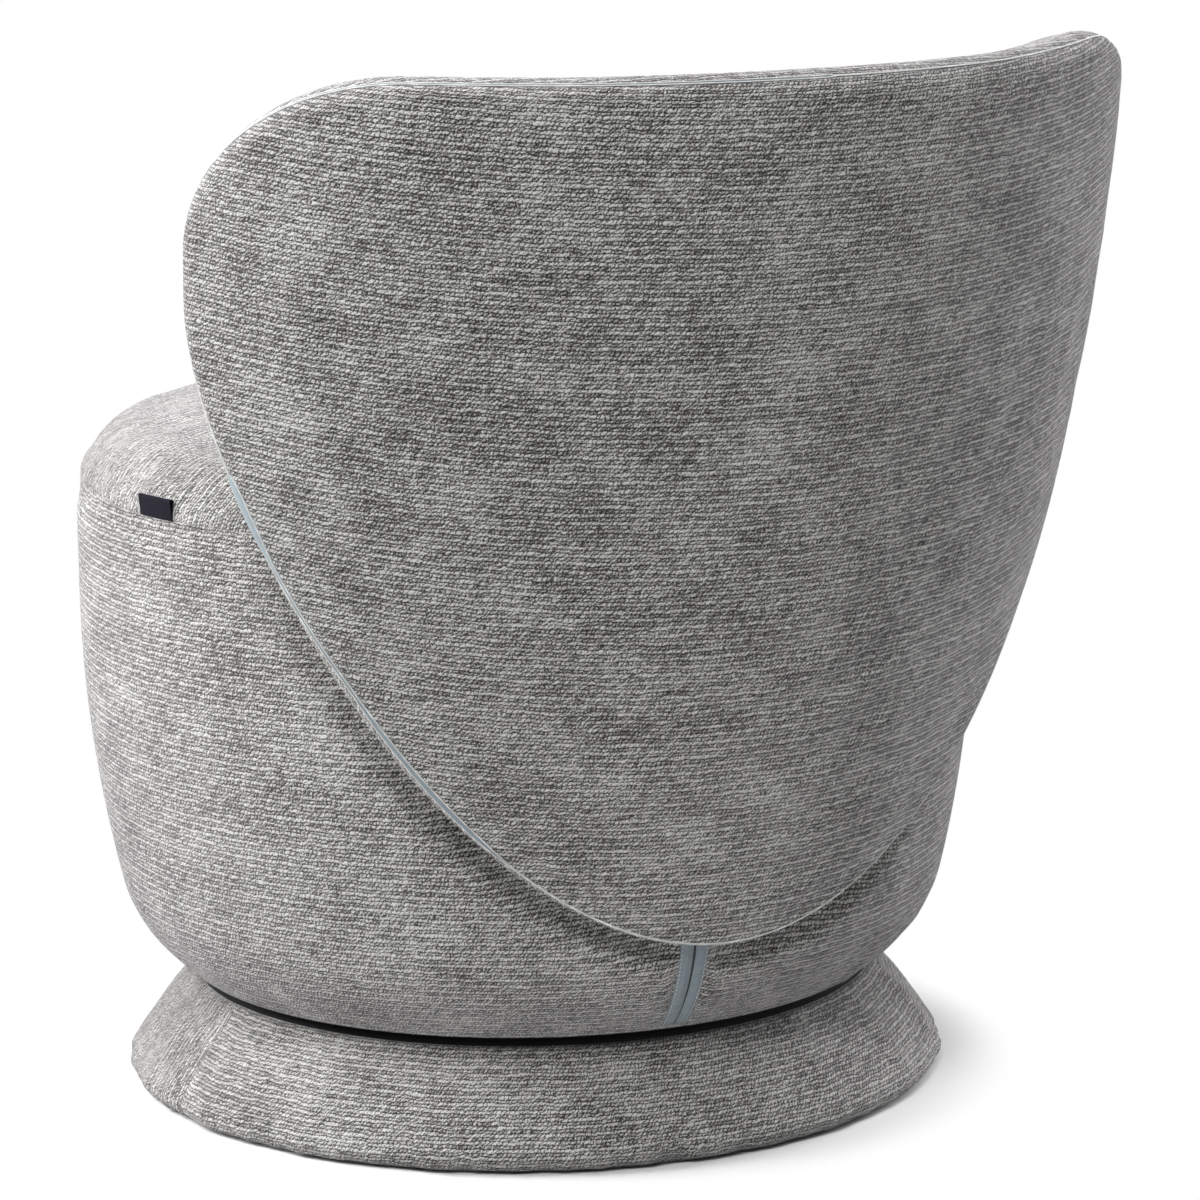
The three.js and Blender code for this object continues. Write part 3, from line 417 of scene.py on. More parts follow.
@dataclass(frozen=True)
class Plywood:
    """Birch plywood: grain on the faces and dark glue lines on the edges."""

    name: str = "birch_plywood"
    ply: float = 1.5 * MM
    pale: Colour = (0.62, 0.43, 0.24)
    deep: Colour = (0.40, 0.245, 0.12)
    grain_size: float = 2.2 * MM
    figure_size: float = 24 * MM
    relief: float = 0.2 * MM

    def make(self) -> bpy.types.Material:
        """The material, on object coordinates."""
        shader = Shader(self.name)
        where, x, y, z = shader.on_object()
        grain = shader.noise(shader.place(x * 0.06, y, z * 0.06), self.grain_size, 4.0)
        figure = shader.noise(shader.place(x * 0.2, y, z * 0.2), self.figure_size, 3.0)
        layer = (z / self.ply).fraction().hump()
        normal = shader.node("ShaderNodeNewGeometry").outputs["Normal"]
        up = Signal(shader, shader.node("ShaderNodeSeparateXYZ", {}, {0: normal}).outputs[2])
        edge = 1 - up.distance().rising(0.5, 0.8)
        share = 0.55 * grain + 0.45 * figure - 0.35 * edge * (1 - layer.rising(0.05, 0.4))
        return shader.surface(
            Base_Color=shader.mix(share.rising(0.2, 0.75), self.deep, self.pale),
            Roughness=0.55 + 0.2 * grain,
            Normal=shader.bump(grain, self.relief, 0.5),
        )


@dataclass(frozen=True)
class Hardboard:
    """Brown pressed fibre board."""

    name: str = "hardboard"
    pale: Colour = (0.26, 0.15, 0.075)
    deep: Colour = (0.14, 0.075, 0.035)
    fibre_size: float = 1.4 * MM
    cloud_size: float = 30 * MM
    relief: float = 0.15 * MM

    def make(self) -> bpy.types.Material:
        """The material, on object coordinates."""
        shader = Shader(self.name)
        where, _, _, _ = shader.on_object()
        fibre = shader.noise(where, self.fibre_size, 5.0)
        cloud = shader.noise(where, self.cloud_size, 3.0)
        return shader.surface(
            Base_Color=shader.mix(0.6 * fibre + 0.4 * cloud, self.deep, self.pale),
            Roughness=0.6 + 0.25 * fibre,
            Normal=shader.bump(fibre, self.relief, 0.5),
        )


@dataclass(frozen=True)
class Metal:
    """Zinc plate or oiled steel with a faint spangle and patches of rubbed roughness."""

    name: str
    pale: Colour
    deep: Colour
    grain: float
    roughness: float
    relief: float = 0.05 * MM

    def make(self) -> bpy.types.Material:
        """The material, on object coordinates."""
        shader = Shader(self.name)
        where, _, _, _ = shader.on_object()
        spangle = shader.noise(where, self.grain, 4.0)
        rub = shader.noise(where, 5 * self.grain, 3.0)
        return shader.surface(
            Base_Color=shader.mix(spangle.rising(0.3, 0.7), self.deep, self.pale),
            Metallic=1.0,
            Roughness=self.roughness + 0.25 * (rub - 0.5),
            Normal=shader.bump(spangle, self.relief, 0.3),
        )


@dataclass(frozen=True)
class Lining:
    """Black spun lining cloth with its small pressed dots."""

    name: str = "black_lining"
    dot: float = 1.1 * MM
    colour: Colour = (0.016, 0.016, 0.018)
    fibre_size: float = 3 * MM
    relief: float = 0.1 * MM

    def make(self) -> bpy.types.Material:
        """The material, on object coordinates."""
        shader = Shader(self.name)
        where, x, y, _ = shader.on_object()
        dots = (x / self.dot).fraction().hump() * (y / self.dot).fraction().hump()
        fibre = shader.noise(where, self.fibre_size, 4.0)
        return shader.surface(
            Base_Color=shader.mix(fibre, self.colour, toned(self.colour, 2.4)),
            Roughness=0.75 + 0.2 * fibre,
            Normal=shader.bump(dots, self.relief, 0.6),
        )


@dataclass(frozen=True)
class Moulded:
    """Moulded nylon with a fine grain."""

    name: str
    colour: Colour
    roughness: float = 0.45
    grain_size: float = 0.8 * MM
    scuff_size: float = 9 * MM
    relief: float = 0.06 * MM

    def make(self) -> bpy.types.Material:
        """The material, on object coordinates."""
        shader = Shader(self.name)
        where, _, _, _ = shader.on_object()
        grain = shader.noise(where, self.grain_size, 3.0)
        scuff = shader.noise(where, self.scuff_size, 3.0)
        worn = toned(self.colour, 1.5, 0.01)
        return shader.surface(
            Base_Color=shader.mix(scuff.rising(0.45, 0.75), self.colour, worn),
            Roughness=self.roughness + 0.2 * scuff,
            Normal=shader.bump(grain, self.relief, 0.5),
        )


@dataclass(frozen=True)
class Satin:
    """Woven satin of the tag, with fine ribs along its length."""

    name: str = "tag_satin"
    rib: float = 0.45 * MM
    colour: Colour = (0.0056, 0.0053, 0.0088)
    cloud_size: float = 3 * MM
    relief: float = 0.08 * MM

    def make(self) -> bpy.types.Material:
        """The material, on the tag's cloth map."""
        shader = Shader(self.name)
        along, across = shader.on_cloth()
        rib = (across / self.rib).fraction().hump()
        weft = (along / (0.8 * self.rib)).fraction().hump()
        cloud = shader.noise(shader.place(along, across), self.cloud_size, 3.0)
        return shader.surface(
            Base_Color=shader.mix(0.5 * rib + 0.4 * cloud, self.colour, toned(self.colour, 2.2)),
            Roughness=0.85,
            Specular_IOR_Level=0.08,
            Normal=shader.bump(rib + 0.5 * weft, self.relief, 0.7),
        )


class Finishes:
    """Every material of the chair, made once."""

    def __init__(self) -> None:
        """Makes the materials."""
        self.chenille = Chenille().make()
        self.tape = TapeWeave("zip_tape_weave", (0.27, 0.325, 0.36)).make()
        self.cord = Moulded("zip_edge_cord", (0.62, 0.62, 0.61), 0.6).make()
        self.stitch = Thread("grey_thread", (0.42, 0.42, 0.41)).make()
        self.teeth = Moulded("zip_nylon", (0.012, 0.013, 0.015)).make()
        self.tag = Satin().make()
        self.by_slot = {
            Slot.LINING: Lining().make(),
            Slot.PLYWOOD: Plywood().make(),
            Slot.HARDBOARD: Hardboard().make(),
            Slot.ZINC: Metal("zinc_plate", (0.66, 0.67, 0.68), (0.46, 0.47, 0.49), 5 * MM, 0.36).make(),
            Slot.SPRING: Metal("spring_steel", (0.34, 0.35, 0.36), (0.17, 0.17, 0.18), 2 * MM, 0.32).make(),
            Slot.ZIP_SLIDER: Metal("zip_slider", (0.55, 0.56, 0.58), (0.34, 0.35, 0.37), 1 * MM, 0.3).make(),
            Slot.GLIDE: Moulded("glide_nylon", (0.012, 0.012, 0.013)).make(),
        }


# Meshes made of rings


@dataclass(frozen=True)
class Fineness:
    """How closely a skin is divided."""

    columns: int
    step: float

    def count(self, length: float) -> int:
        """How many steps a length takes."""
        return max(1, math.ceil(length / self.step))


FINE = Fineness(640, 4.5 * MM)
TRIAL = Fineness(160, 13 * MM)
SAME_PLACE = 0.05 * MM
FEWEST_SIDES = 8
FACE_SHARE = 0.72


@dataclass
class Skin:
    """A closed skin through rings of points. A ring of one point is a pole."""

    points: list[np.ndarray] = field(default_factory=list)
    flat: list[np.ndarray] = field(default_factory=list)
    held: list[float] = field(default_factory=list)
    looped: bool = False

    def add(self, points: np.ndarray, flat: np.ndarray, held: float) -> None:
        """Adds a ring.

        Args:
            points: Its places, one row each.
            flat: The same places on the flat fabric, in metres.
            held: 1 where the ring is sewn or backed, 0 where the cloth is free to swell.
        """
        self.points.append(points)
        self.flat.append(flat)
        self.held.append(held)

    def weights(self) -> np.ndarray:
        """How firmly each point is held."""
        return np.concatenate([np.full(len(p), h) for p, h in zip(self.points, self.held)])

    def stacked(self) -> np.ndarray:
        """All points in one array."""
        return np.concatenate(self.points)

    def take(self, moved: np.ndarray) -> None:
        """Puts the points of one array back into the rings."""
        start = 0
        for i, ring in enumerate(self.points):
            self.points[i] = moved[start : start + len(ring)]
            start += len(ring)

    def faces(self) -> list[tuple[int, ...]]:
        """The faces between each ring and the next."""
        starts = np.cumsum([0] + [len(ring) for ring in self.points])
        pairs = [(i, i + 1) for i in range(len(self.points) - 1)]
        if self.looped:
            pairs.append((len(self.points) - 1, 0))
        faces: list[tuple[int, ...]] = []
        for first, second in pairs:
            near, far = first, second
            if len(self.points[first]) < len(self.points[second]):
                near, far = second, first
            n, m = len(self.points[near]), len(self.points[far])
            a, b = int(starts[near]), int(starts[far])
            if m == 1:
                faces += [(a + i, a + (i + 1) % n, b) for i in range(n)]
            elif m == n:
                faces += [(a + i, a + (i + 1) % n, b + (i + 1) % n, b + i) for i in range(n)]
            else:
                for i in range(m):
                    k, j = (i + 1) % m, 2 * i
                    middle, end = a + j + 1, a + (j + 2) % n
                    faces += [(a + j, middle, b + i), (middle, b + k, b + i), (middle, end, b + k)]
        return faces

    def build(self, name: str, girth: float = 0.0) -> bpy.types.Object:
        """Makes the skin a mesh object with its cloth map.

        Args:
            name: The object's name.
            girth: Length of fabric once round, where the map closes on itself, or 0.

        Returns:
            The new object, with its faces pointing outwards.
        """
        made = mesh_object(name, self.stacked(), self.faces())
        turn_outwards(made)
        flat = np.concatenate(self.flat)[corner_points(made.data)]
        if girth:
            sizes = face_values(made.data, "loop_total", int)
            starts = np.cumsum(sizes) - sizes
            highest = np.repeat(np.maximum.reduceat(flat[:, 0], starts), sizes)
            flat[:, 0] += np.where(highest - flat[:, 0] > girth / 2, girth, 0)
        lay_cloth(made.data, flat)
        return made


def corner_points(mesh: bpy.types.Mesh) -> np.ndarray:
    """The index of the point at every corner of every face."""
    corners = np.empty(len(mesh.loops), dtype=int)
    mesh.loops.foreach_get("vertex_index", corners)
    return corners


def face_values(mesh: bpy.types.Mesh, name: str, kind: type, size: int = 1) -> np.ndarray:
    """A property of every face, in one row."""
    values = np.empty(len(mesh.polygons) * size, dtype=kind)
    mesh.polygons.foreach_get(name, values)
    return values


def face_centres(mesh: bpy.types.Mesh) -> np.ndarray:
    """The centre of every face, one row each."""
    return face_values(mesh, "center", float, 3).reshape(-1, 3)


def lay_cloth(mesh: bpy.types.Mesh, flat: np.ndarray) -> None:
    """Adds the cloth map from a place for every corner."""
    layer = mesh.uv_layers.new(name=CLOTH_MAP)
    layer.data.foreach_set("uv", flat.ravel())


def mesh_object(name: str, points: np.ndarray, faces: Sequence[Sequence[int]]) -> bpy.types.Object:
    """A smooth mesh object from points and faces."""
    mesh = bpy.data.meshes.new(name)
    mesh.from_pydata([tuple(p) for p in points], [], faces)
    mesh.polygons.foreach_set("use_smooth", [True] * len(mesh.polygons))
    made = bpy.data.objects.new(name, mesh)
    bpy.context.scene.collection.objects.link(made)
    return made


def turn_outwards(made: bpy.types.Object) -> None:
    """Points the faces of a closed mesh outwards."""
    work = bmesh.new()
    work.from_mesh(made.data)
    bmesh.ops.recalc_face_normals(work, faces=work.faces)
    work.to_mesh(made.data)
    work.free()


def dress(made: bpy.types.Object, material: bpy.types.Material) -> None:
    """Gives an object one material."""
    made.data.materials.clear()
    made.data.materials.append(material)


def polar(radius: np.ndarray, angle: np.ndarray, height: np.ndarray) -> np.ndarray:
    """Points round the swivel axis, with angles from the rear towards the sitter's left."""
    radius, angle, height = np.broadcast_arrays(radius, angle, height)
    return np.stack([radius * np.sin(angle), AXIS_Y + radius * np.cos(angle), height], -1)


def bearing(places: np.ndarray) -> np.ndarray:
    """The angle of each place round the swivel axis."""
    return np.arctan2(places[:, 0], places[:, 1] - AXIS_Y)


def outward(angle: np.ndarray) -> np.ndarray:
    """The level direction away from the swivel axis at each angle."""
    return np.stack([np.sin(angle), np.cos(angle), np.zeros_like(angle)], -1)


def smooth(share: np.ndarray) -> np.ndarray:
    """Runs smoothly from 0 to 1 as a share does."""
    share = np.clip(share, 0, 1)
    return share * share * (3 - 2 * share)


def arc(centre: tuple[float, float], radius: float, start: float, end: float, steps: int) -> np.ndarray:
    """Points on an arc in a plane, angles in degrees."""
    angle = np.radians(np.linspace(start, end, steps + 1))
    return np.stack([centre[0] + radius * np.cos(angle), centre[1] + radius * np.sin(angle)], -1)


def straight(start: tuple[float, float], end: tuple[float, float], steps: int) -> np.ndarray:
    """Points on a straight line in a plane."""
    share = np.linspace(0, 1, steps + 1)[:, None]
    return np.array(start) + share * (np.array(end) - np.array(start))


def joined(*runs: np.ndarray) -> np.ndarray:
    """Runs of points as one line, without the points that two runs share."""
    line = np.concatenate(runs)
    step = np.linalg.norm(np.diff(line, axis=0), axis=1)
    return line[np.concatenate([[True], step > SAME_PLACE])]


def lengths(line: np.ndarray) -> np.ndarray:
    """How far along a line each of its points lies."""
    return np.concatenate([[0], np.cumsum(np.linalg.norm(np.diff(line, axis=0), axis=1))])


def ripple(angle: np.ndarray, waves: Sequence[tuple[int, float, float]]) -> np.ndarray:
    """A sum of whole waves round the axis, each a count, a size and a phase."""
    return sum(size * np.sin(count * angle + phase) for count, size, phase in waves)


def round_skin(line: np.ndarray, held: np.ndarray, columns: int, radius: float) -> Skin:
    """Carries a closed section round the swivel axis.

    Args:
        line: Radius and height of each point of the section.
        held: How firmly each of them is held.
        columns: How many points a ring has.
        radius: Where the fabric has its true length round the axis.

    Returns:
        The skin, whose cloth map begins at the front.
    """
    angle = np.linspace(0, TURN, columns, endpoint=False) + math.pi
    skin = Skin(looped=True)
    for (far, height), place, hold in zip(line, lengths(line), held):
        flat = np.stack([(angle - math.pi) * radius, np.full_like(angle, place)], -1)
        skin.add(polar(far, angle, height), flat, hold)
    return skin


def thin_poles(skin: Skin, step: Fineness) -> None:
    """Halves the rings towards both poles so that faces stay nearly square."""
    for order in (1, -1):
        for i in list(range(len(skin.points)))[::order][1:]:
            ring = skin.points[i]
            girth = np.linalg.norm(ring - np.roll(ring, 1, axis=0), axis=1).sum()
            want = max(FEWEST_SIDES, girth / (FACE_SHARE * step.step))
            halvings = max(0, int(math.floor(math.log2(max(1.0, len(ring) / want)))))
            if halvings == 0:
                break
            skin.points[i] = ring[:: 2**halvings]
            skin.flat[i] = skin.flat[i][:: 2**halvings]


def nearest_tree(places: np.ndarray) -> kdtree.KDTree:
    """A tree that finds the nearest of some places."""
    tree = kdtree.KDTree(len(places))
    for i, place in enumerate(places):
        tree.insert(place, i)
    tree.balance()
    return tree


# Cloth simulation

COVER_CLOTH: dict[str, Union[float, bool]] = {
    "quality": 7,
    "mass": 0.3,
    "tension_stiffness": 14,
    "compression_stiffness": 14,
    "shear_stiffness": 6,
    "bending_stiffness": 0.8,
    "use_pressure": True,
}


@dataclass(frozen=True)
class Swelling:
    """How foam pushes a cover out between its seams, found by cloth simulation."""

    pressure: float = 4.0
    slack: float = 0.012
    cap: float = 8 * MM
    frames: int = 20
    reach: float = 16 * MM
    neighbours: int = 7

    def apply(self, fine: Skin, trial: Skin, firm: Optional[np.ndarray] = None) -> None:
        """Runs the simulation on a coarse skin and moves the fine one the same way.

        Args:
            fine: The skin that is shown.
            trial: The same skin, coarsely divided.
            firm: How far each point of the fine skin is kept from moving by what lies on it, 0 to 1.
        """
        before = trial.stacked()
        moved = self.simulate(trial) - before
        length = np.linalg.norm(moved, axis=1, keepdims=True)
        moved *= np.minimum(1, self.cap / np.maximum(length, 1e-9))
        tree = nearest_tree(before)
        places = fine.stacked()
        shift = np.zeros_like(places)
        for i, place in enumerate(places):
            found = tree.find_n(place, self.neighbours)
            weight = np.exp([-((far / self.reach) ** 2) for _, _, far in found])
            shift[i] = weight @ moved[[index for _, index, _ in found]] / weight.sum()
        free = 1 - fine.weights()
        if firm is not None:
            free *= 1 - firm
        fine.take(places + shift * free[:, None])

    def simulate(self, trial: Skin) -> np.ndarray:
        """The places of the coarse skin's points after the cloth has settled."""
        scene = bpy.context.scene
        body = trial.build("swelling_trial")
        group = body.vertex_groups.new(name="held")
        for i, weight in enumerate(trial.weights()):
            group.add([i], float(weight), "REPLACE")
        cloth = body.modifiers.new("swelling", "CLOTH")
        for name, value in COVER_CLOTH.items():
            setattr(cloth.settings, name, value)
        cloth.settings.uniform_pressure_force = self.pressure
        cloth.settings.shrink_min = -self.slack
        cloth.settings.vertex_group_mass = "held"
        cloth.settings.effector_weights.gravity = 0
        cloth.point_cache.frame_start = 1
        cloth.point_cache.frame_end = self.frames
        for number in range(1, self.frames + 1):
            scene.frame_set(number)
        settled = body.evaluated_get(bpy.context.evaluated_depsgraph_get())
        places = np.array([vertex.co for vertex in settled.data.vertices])
        bpy.data.objects.remove(body)
        scene.frame_set(1)
        return places


# Sweeps, ribbons and repeats


def frames_along(path: np.ndarray, out: np.ndarray) -> tuple[np.ndarray, np.ndarray, np.ndarray]:
    """Directions along a path, across it and away from its surface, one row for each point."""
    along = np.gradient(path, axis=0)
    along /= np.linalg.norm(along, axis=1, keepdims=True)
    across = np.cross(out, along)
    across /= np.linalg.norm(across, axis=1, keepdims=True)
    return along, across, np.cross(along, across)


def swept(name: str, path: np.ndarray, out: np.ndarray, section: np.ndarray) -> bpy.types.Object:
    """A closed bar along a path.

    Args:
        name: The object's name.
        path: The points that it follows.
        out: The direction away from the surface at each of them.
        section: Its outline, across and away from the surface: the same at every point as (m, 2),
            or its own at each point as (n, m, 2).

    Returns:
        The bar as an object.
    """
    _, across, away = frames_along(path, out)
    count = len(path)
    section = np.broadcast_to(section, (count, *section.shape[-2:]))
    rings = path[:, None] + section[..., :1] * across[:, None] + section[..., 1:] * away[:, None]
    skin = Skin()
    first, last = rings[0].mean(0), rings[-1].mean(0)
    for ring in [first[None], *rings, last[None]]:
        skin.add(ring, np.zeros((len(ring), 2)), 0)
    return skin.build(name)


def round_section(radius: float, sides: int = 8) -> np.ndarray:
    """A round outline about the path."""
    angle = np.linspace(0, TURN, sides, endpoint=False)
    return radius * np.stack([np.cos(angle), np.sin(angle)], -1)


def flat_section(half: float, low: float, high: float) -> np.ndarray:
    """A rectangular outline across the path, between two heights above it."""
    return np.array([[-half, low], [half, low], [half, high], [-half, high]])


def ribbon(name: str, rows: np.ndarray, flat: np.ndarray, thickness: float) -> bpy.types.Object:
    """A closed thin ribbon.

    Args:
        name: The object's name.
        rows: The points of its middle face, as (n, m, 3).
        flat: The same points on the flat fabric, as (n, m, 2).
        thickness: Its thickness.

    Returns:
        The ribbon as an object with a cloth map.
    """
    lengthwise, crosswise = np.gradient(rows, axis=(0, 1))
    out = np.cross(lengthwise, crosswise)
    out *= thickness / 2 / np.linalg.norm(out, axis=-1, keepdims=True)
    points = np.concatenate([(rows + out).reshape(-1, 3), (rows - out).reshape(-1, 3)])
    under = rows.shape[0] * rows.shape[1]
    grid = np.arange(under).reshape(rows.shape[:2])
    corners = [grid[:-1, :-1], grid[:-1, 1:], grid[1:, 1:], grid[1:, :-1]]
    faces = np.stack(corners, -1).reshape(-1, 4).tolist()
    faces += [[corner + under for corner in face[::-1]] for face in faces]
    border = np.concatenate([grid[0], grid[1:, -1], grid[-1, -2::-1], grid[-2:0:-1, 0]]).tolist()
    faces += [[a, b, b + under, a + under] for a, b in zip(border, border[1:] + border[:1])]
    made = mesh_object(name, points, faces)
    turn_outwards(made)
    lay_cloth(made.data, flat.reshape(-1, 2)[corner_points(made.data) % under])
    return made


class GeometryTree(Nodes):
    """A Geometry Nodes tree with one mesh in and one mesh out."""

    def __init__(self, name: str) -> None:
        """Starts a tree with a name."""
        super().__init__(bpy.data.node_groups.new(name, "GeometryNodeTree"))
        for way in ("INPUT", "OUTPUT"):
            self.tree.interface.new_socket("Geometry", in_out=way, socket_type="NodeSocketGeometry")
        self.entry = self.node("NodeGroupInput")
        self.identifiers: dict[str, str] = {}

    def input(self, name: str, kind: str = "NodeSocketFloat") -> bpy.types.NodeSocket:
        """A named input of the tree, as a socket to link from."""
        item = self.tree.interface.new_socket(name, in_out="INPUT", socket_type=kind)
        self.identifiers[name] = item.identifier
        return self.entry.outputs[name]

    def finish(self, geometry: bpy.types.NodeSocket) -> None:
        """Sends a geometry to the tree's output."""
        self.node("NodeGroupOutput", {}, {0: geometry})

    def run(self, target: bpy.types.Object, name: str, values: Mapping[str, Any]) -> bpy.types.Object:
        """Runs the tree on an object and returns its result as a plain mesh object.

        Args:
            target: The object that the tree reads, which is removed afterwards.
            name: The result's name.
            values: A value for each named input.

        Returns:
            A new object with no modifier.
        """
        modifier = target.modifiers.new("repeat", "NODES")
        modifier.node_group = self.tree
        for key, value in values.items():
            modifier[self.identifiers[key]] = value
        graph = bpy.context.evaluated_depsgraph_get()
        mesh = bpy.data.meshes.new_from_object(target.evaluated_get(graph))
        mesh.name = name
        target.modifiers.remove(modifier)
        bpy.data.objects.remove(target)
        made = bpy.data.objects.new(name, mesh)
        bpy.context.scene.collection.objects.link(made)
        return made


@dataclass(frozen=True)
class Bead:
    """A small rounded body that repeats along a path, such as a stitch or a zip tooth."""

    pitch: float
    length: float
    width: float
    height: float
    lift: float = 0.0
    lean: float = 0.0
    seed: int = 7
    spread: float = 0.08
    SIDES = 8
    RINGS = 5

    def tree(self) -> GeometryTree:
        """The tree that sets beads along the edges of a mesh by its "out" attribute."""
        tree = GeometryTree("beads_along_path")
        names = ["Pitch", "Length", "Width", "Height", "Lift", "Lean"]
        pitch, length, width, height, lift, lean = (tree.input(name) for name in names)
        seed = tree.input("Seed", "NodeSocketInt")
        finish = tree.input("Material", "NodeSocketMaterial")
        curve = tree.output("GeometryNodeMeshToCurve", {}, {"Mesh": tree.entry.outputs["Geometry"]})
        inputs = {"Curve": curve, "Length": pitch}
        spaced = tree.output("GeometryNodeResampleCurve", {"mode": "LENGTH"}, inputs)
        points = tree.node("GeometryNodeCurveToPoints", {"mode": "EVALUATED"}, {"Curve": spaced})
        settings = {"data_type": "FLOAT_VECTOR"}
        out = tree.output("GeometryNodeInputNamedAttribute", settings, {"Name": "out"})
        upright = tree.output("FunctionNodeAlignRotationToVector", {"axis": "Z"}, {"Vector": out})
        settings = {"axis": "X", "pivot_axis": "Z"}
        inputs = {"Rotation": upright, "Vector": points.outputs["Tangent"]}
        turned = tree.output("FunctionNodeAlignRotationToVector", settings, inputs)
        inputs = {"Segments": self.SIDES, "Rings": self.RINGS, "Radius": 0.5}
        ball = tree.output("GeometryNodeMeshUVSphere", {}, inputs)
        size = tree.output("ShaderNodeCombineXYZ", {}, {0: length, 1: width, 2: height})
        offset = tree.output("ShaderNodeCombineXYZ", {}, {2: lift})
        yaw = tree.output("ShaderNodeCombineXYZ", {}, {2: lean})
        sized = tree.output("GeometryNodeTransform", {}, {"Geometry": ball, "Scale": size})
        inputs = {"Geometry": sized, "Translation": offset, "Rotation": yaw}
        placed = tree.output("GeometryNodeTransform", {}, inputs)
        inputs = {2: 1 - self.spread, 3: 1 + self.spread, "Seed": seed}
        varied = tree.node("FunctionNodeRandomValue", {"data_type": "FLOAT"}, inputs).outputs[1]
        inputs = {"Points": points.outputs[0], "Instance": placed, "Rotation": turned, "Scale": varied}
        beads = tree.output("GeometryNodeInstanceOnPoints", {}, inputs)
        real = tree.output("GeometryNodeRealizeInstances", {}, {"Geometry": beads})
        smoothed = tree.output("GeometryNodeSetShadeSmooth", {}, {"Geometry": real})
        inputs = {"Geometry": smoothed, "Material": finish}
        tree.finish(tree.output("GeometryNodeSetMaterial", {}, inputs))
        return tree

    def along(
        self, name: str, path: np.ndarray, out: np.ndarray, material: bpy.types.Material
    ) -> bpy.types.Object:
        """Sets the beads along a path.

        Args:
            name: The new object's name.
            path: The points that they follow.
            out: The direction away from the surface at each of them.
            material: Their material.

        Returns:
            The beads as one plain mesh object.
        """
        mesh = bpy.data.meshes.new(name + "_path")
        edges = [(i, i + 1) for i in range(len(path) - 1)]
        mesh.from_pydata([tuple(p) for p in path], edges, [])
        layer = mesh.attributes.new("out", "FLOAT_VECTOR", "POINT")
        layer.data.foreach_set("vector", out.astype(np.float32).ravel())
        line = bpy.data.objects.new(name + "_path", mesh)
        bpy.context.scene.collection.objects.link(line)
        values = {
            "Pitch": self.pitch,
            "Length": self.length,
            "Width": self.width,
            "Height": self.height,
            "Lift": self.lift,
            "Lean": self.lean,
            "Seed": self.seed,
            "Material": material,
        }
        return self.tree().run(line, name, values)


# Pieces in the frame


def set_in_frame(piece: bpy.types.Object, body: Body, slot: Slot, *nodes: str) -> None:
    """Lets a piece ride on a body, in place of CAD nodes."""
    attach(piece, body.value)
    if nodes:
        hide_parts(*nodes)
    LOG.info("%s: %d faces", piece.name, len(piece.data.polygons))


def place_pad(
    pad: bpy.types.Object, finishes: Finishes, body: Body, fill: float, *nodes: str
) -> None:
    """Dresses a pad in chenille and sets it in the frame.

    Args:
        pad: The pad's object.
        finishes: The chair's materials.
        body: The body that it rides on.
        fill: How tightly it is stuffed; not used.
        nodes: The CAD nodes that it stands for.
    """
    dress(pad, finishes.chenille)
    set_in_frame(pad, body, Slot.UPHOLSTERY, *nodes)


def line_inside(pad: bpy.types.Object, finishes: Finishes, radius: float, low: float, high: float) -> None:
    """Gives the faces within a radius and between two heights the black lining."""
    pad.data.materials.append(finishes.by_slot[Slot.LINING])
    x, y, z = face_centres(pad.data).T
    inside = (np.hypot(x, y - AXIS_Y) < radius) & (z > low) & (z < high)
    pad.data.polygons.foreach_set("material_index", inside.astype(np.int32))


# Drum


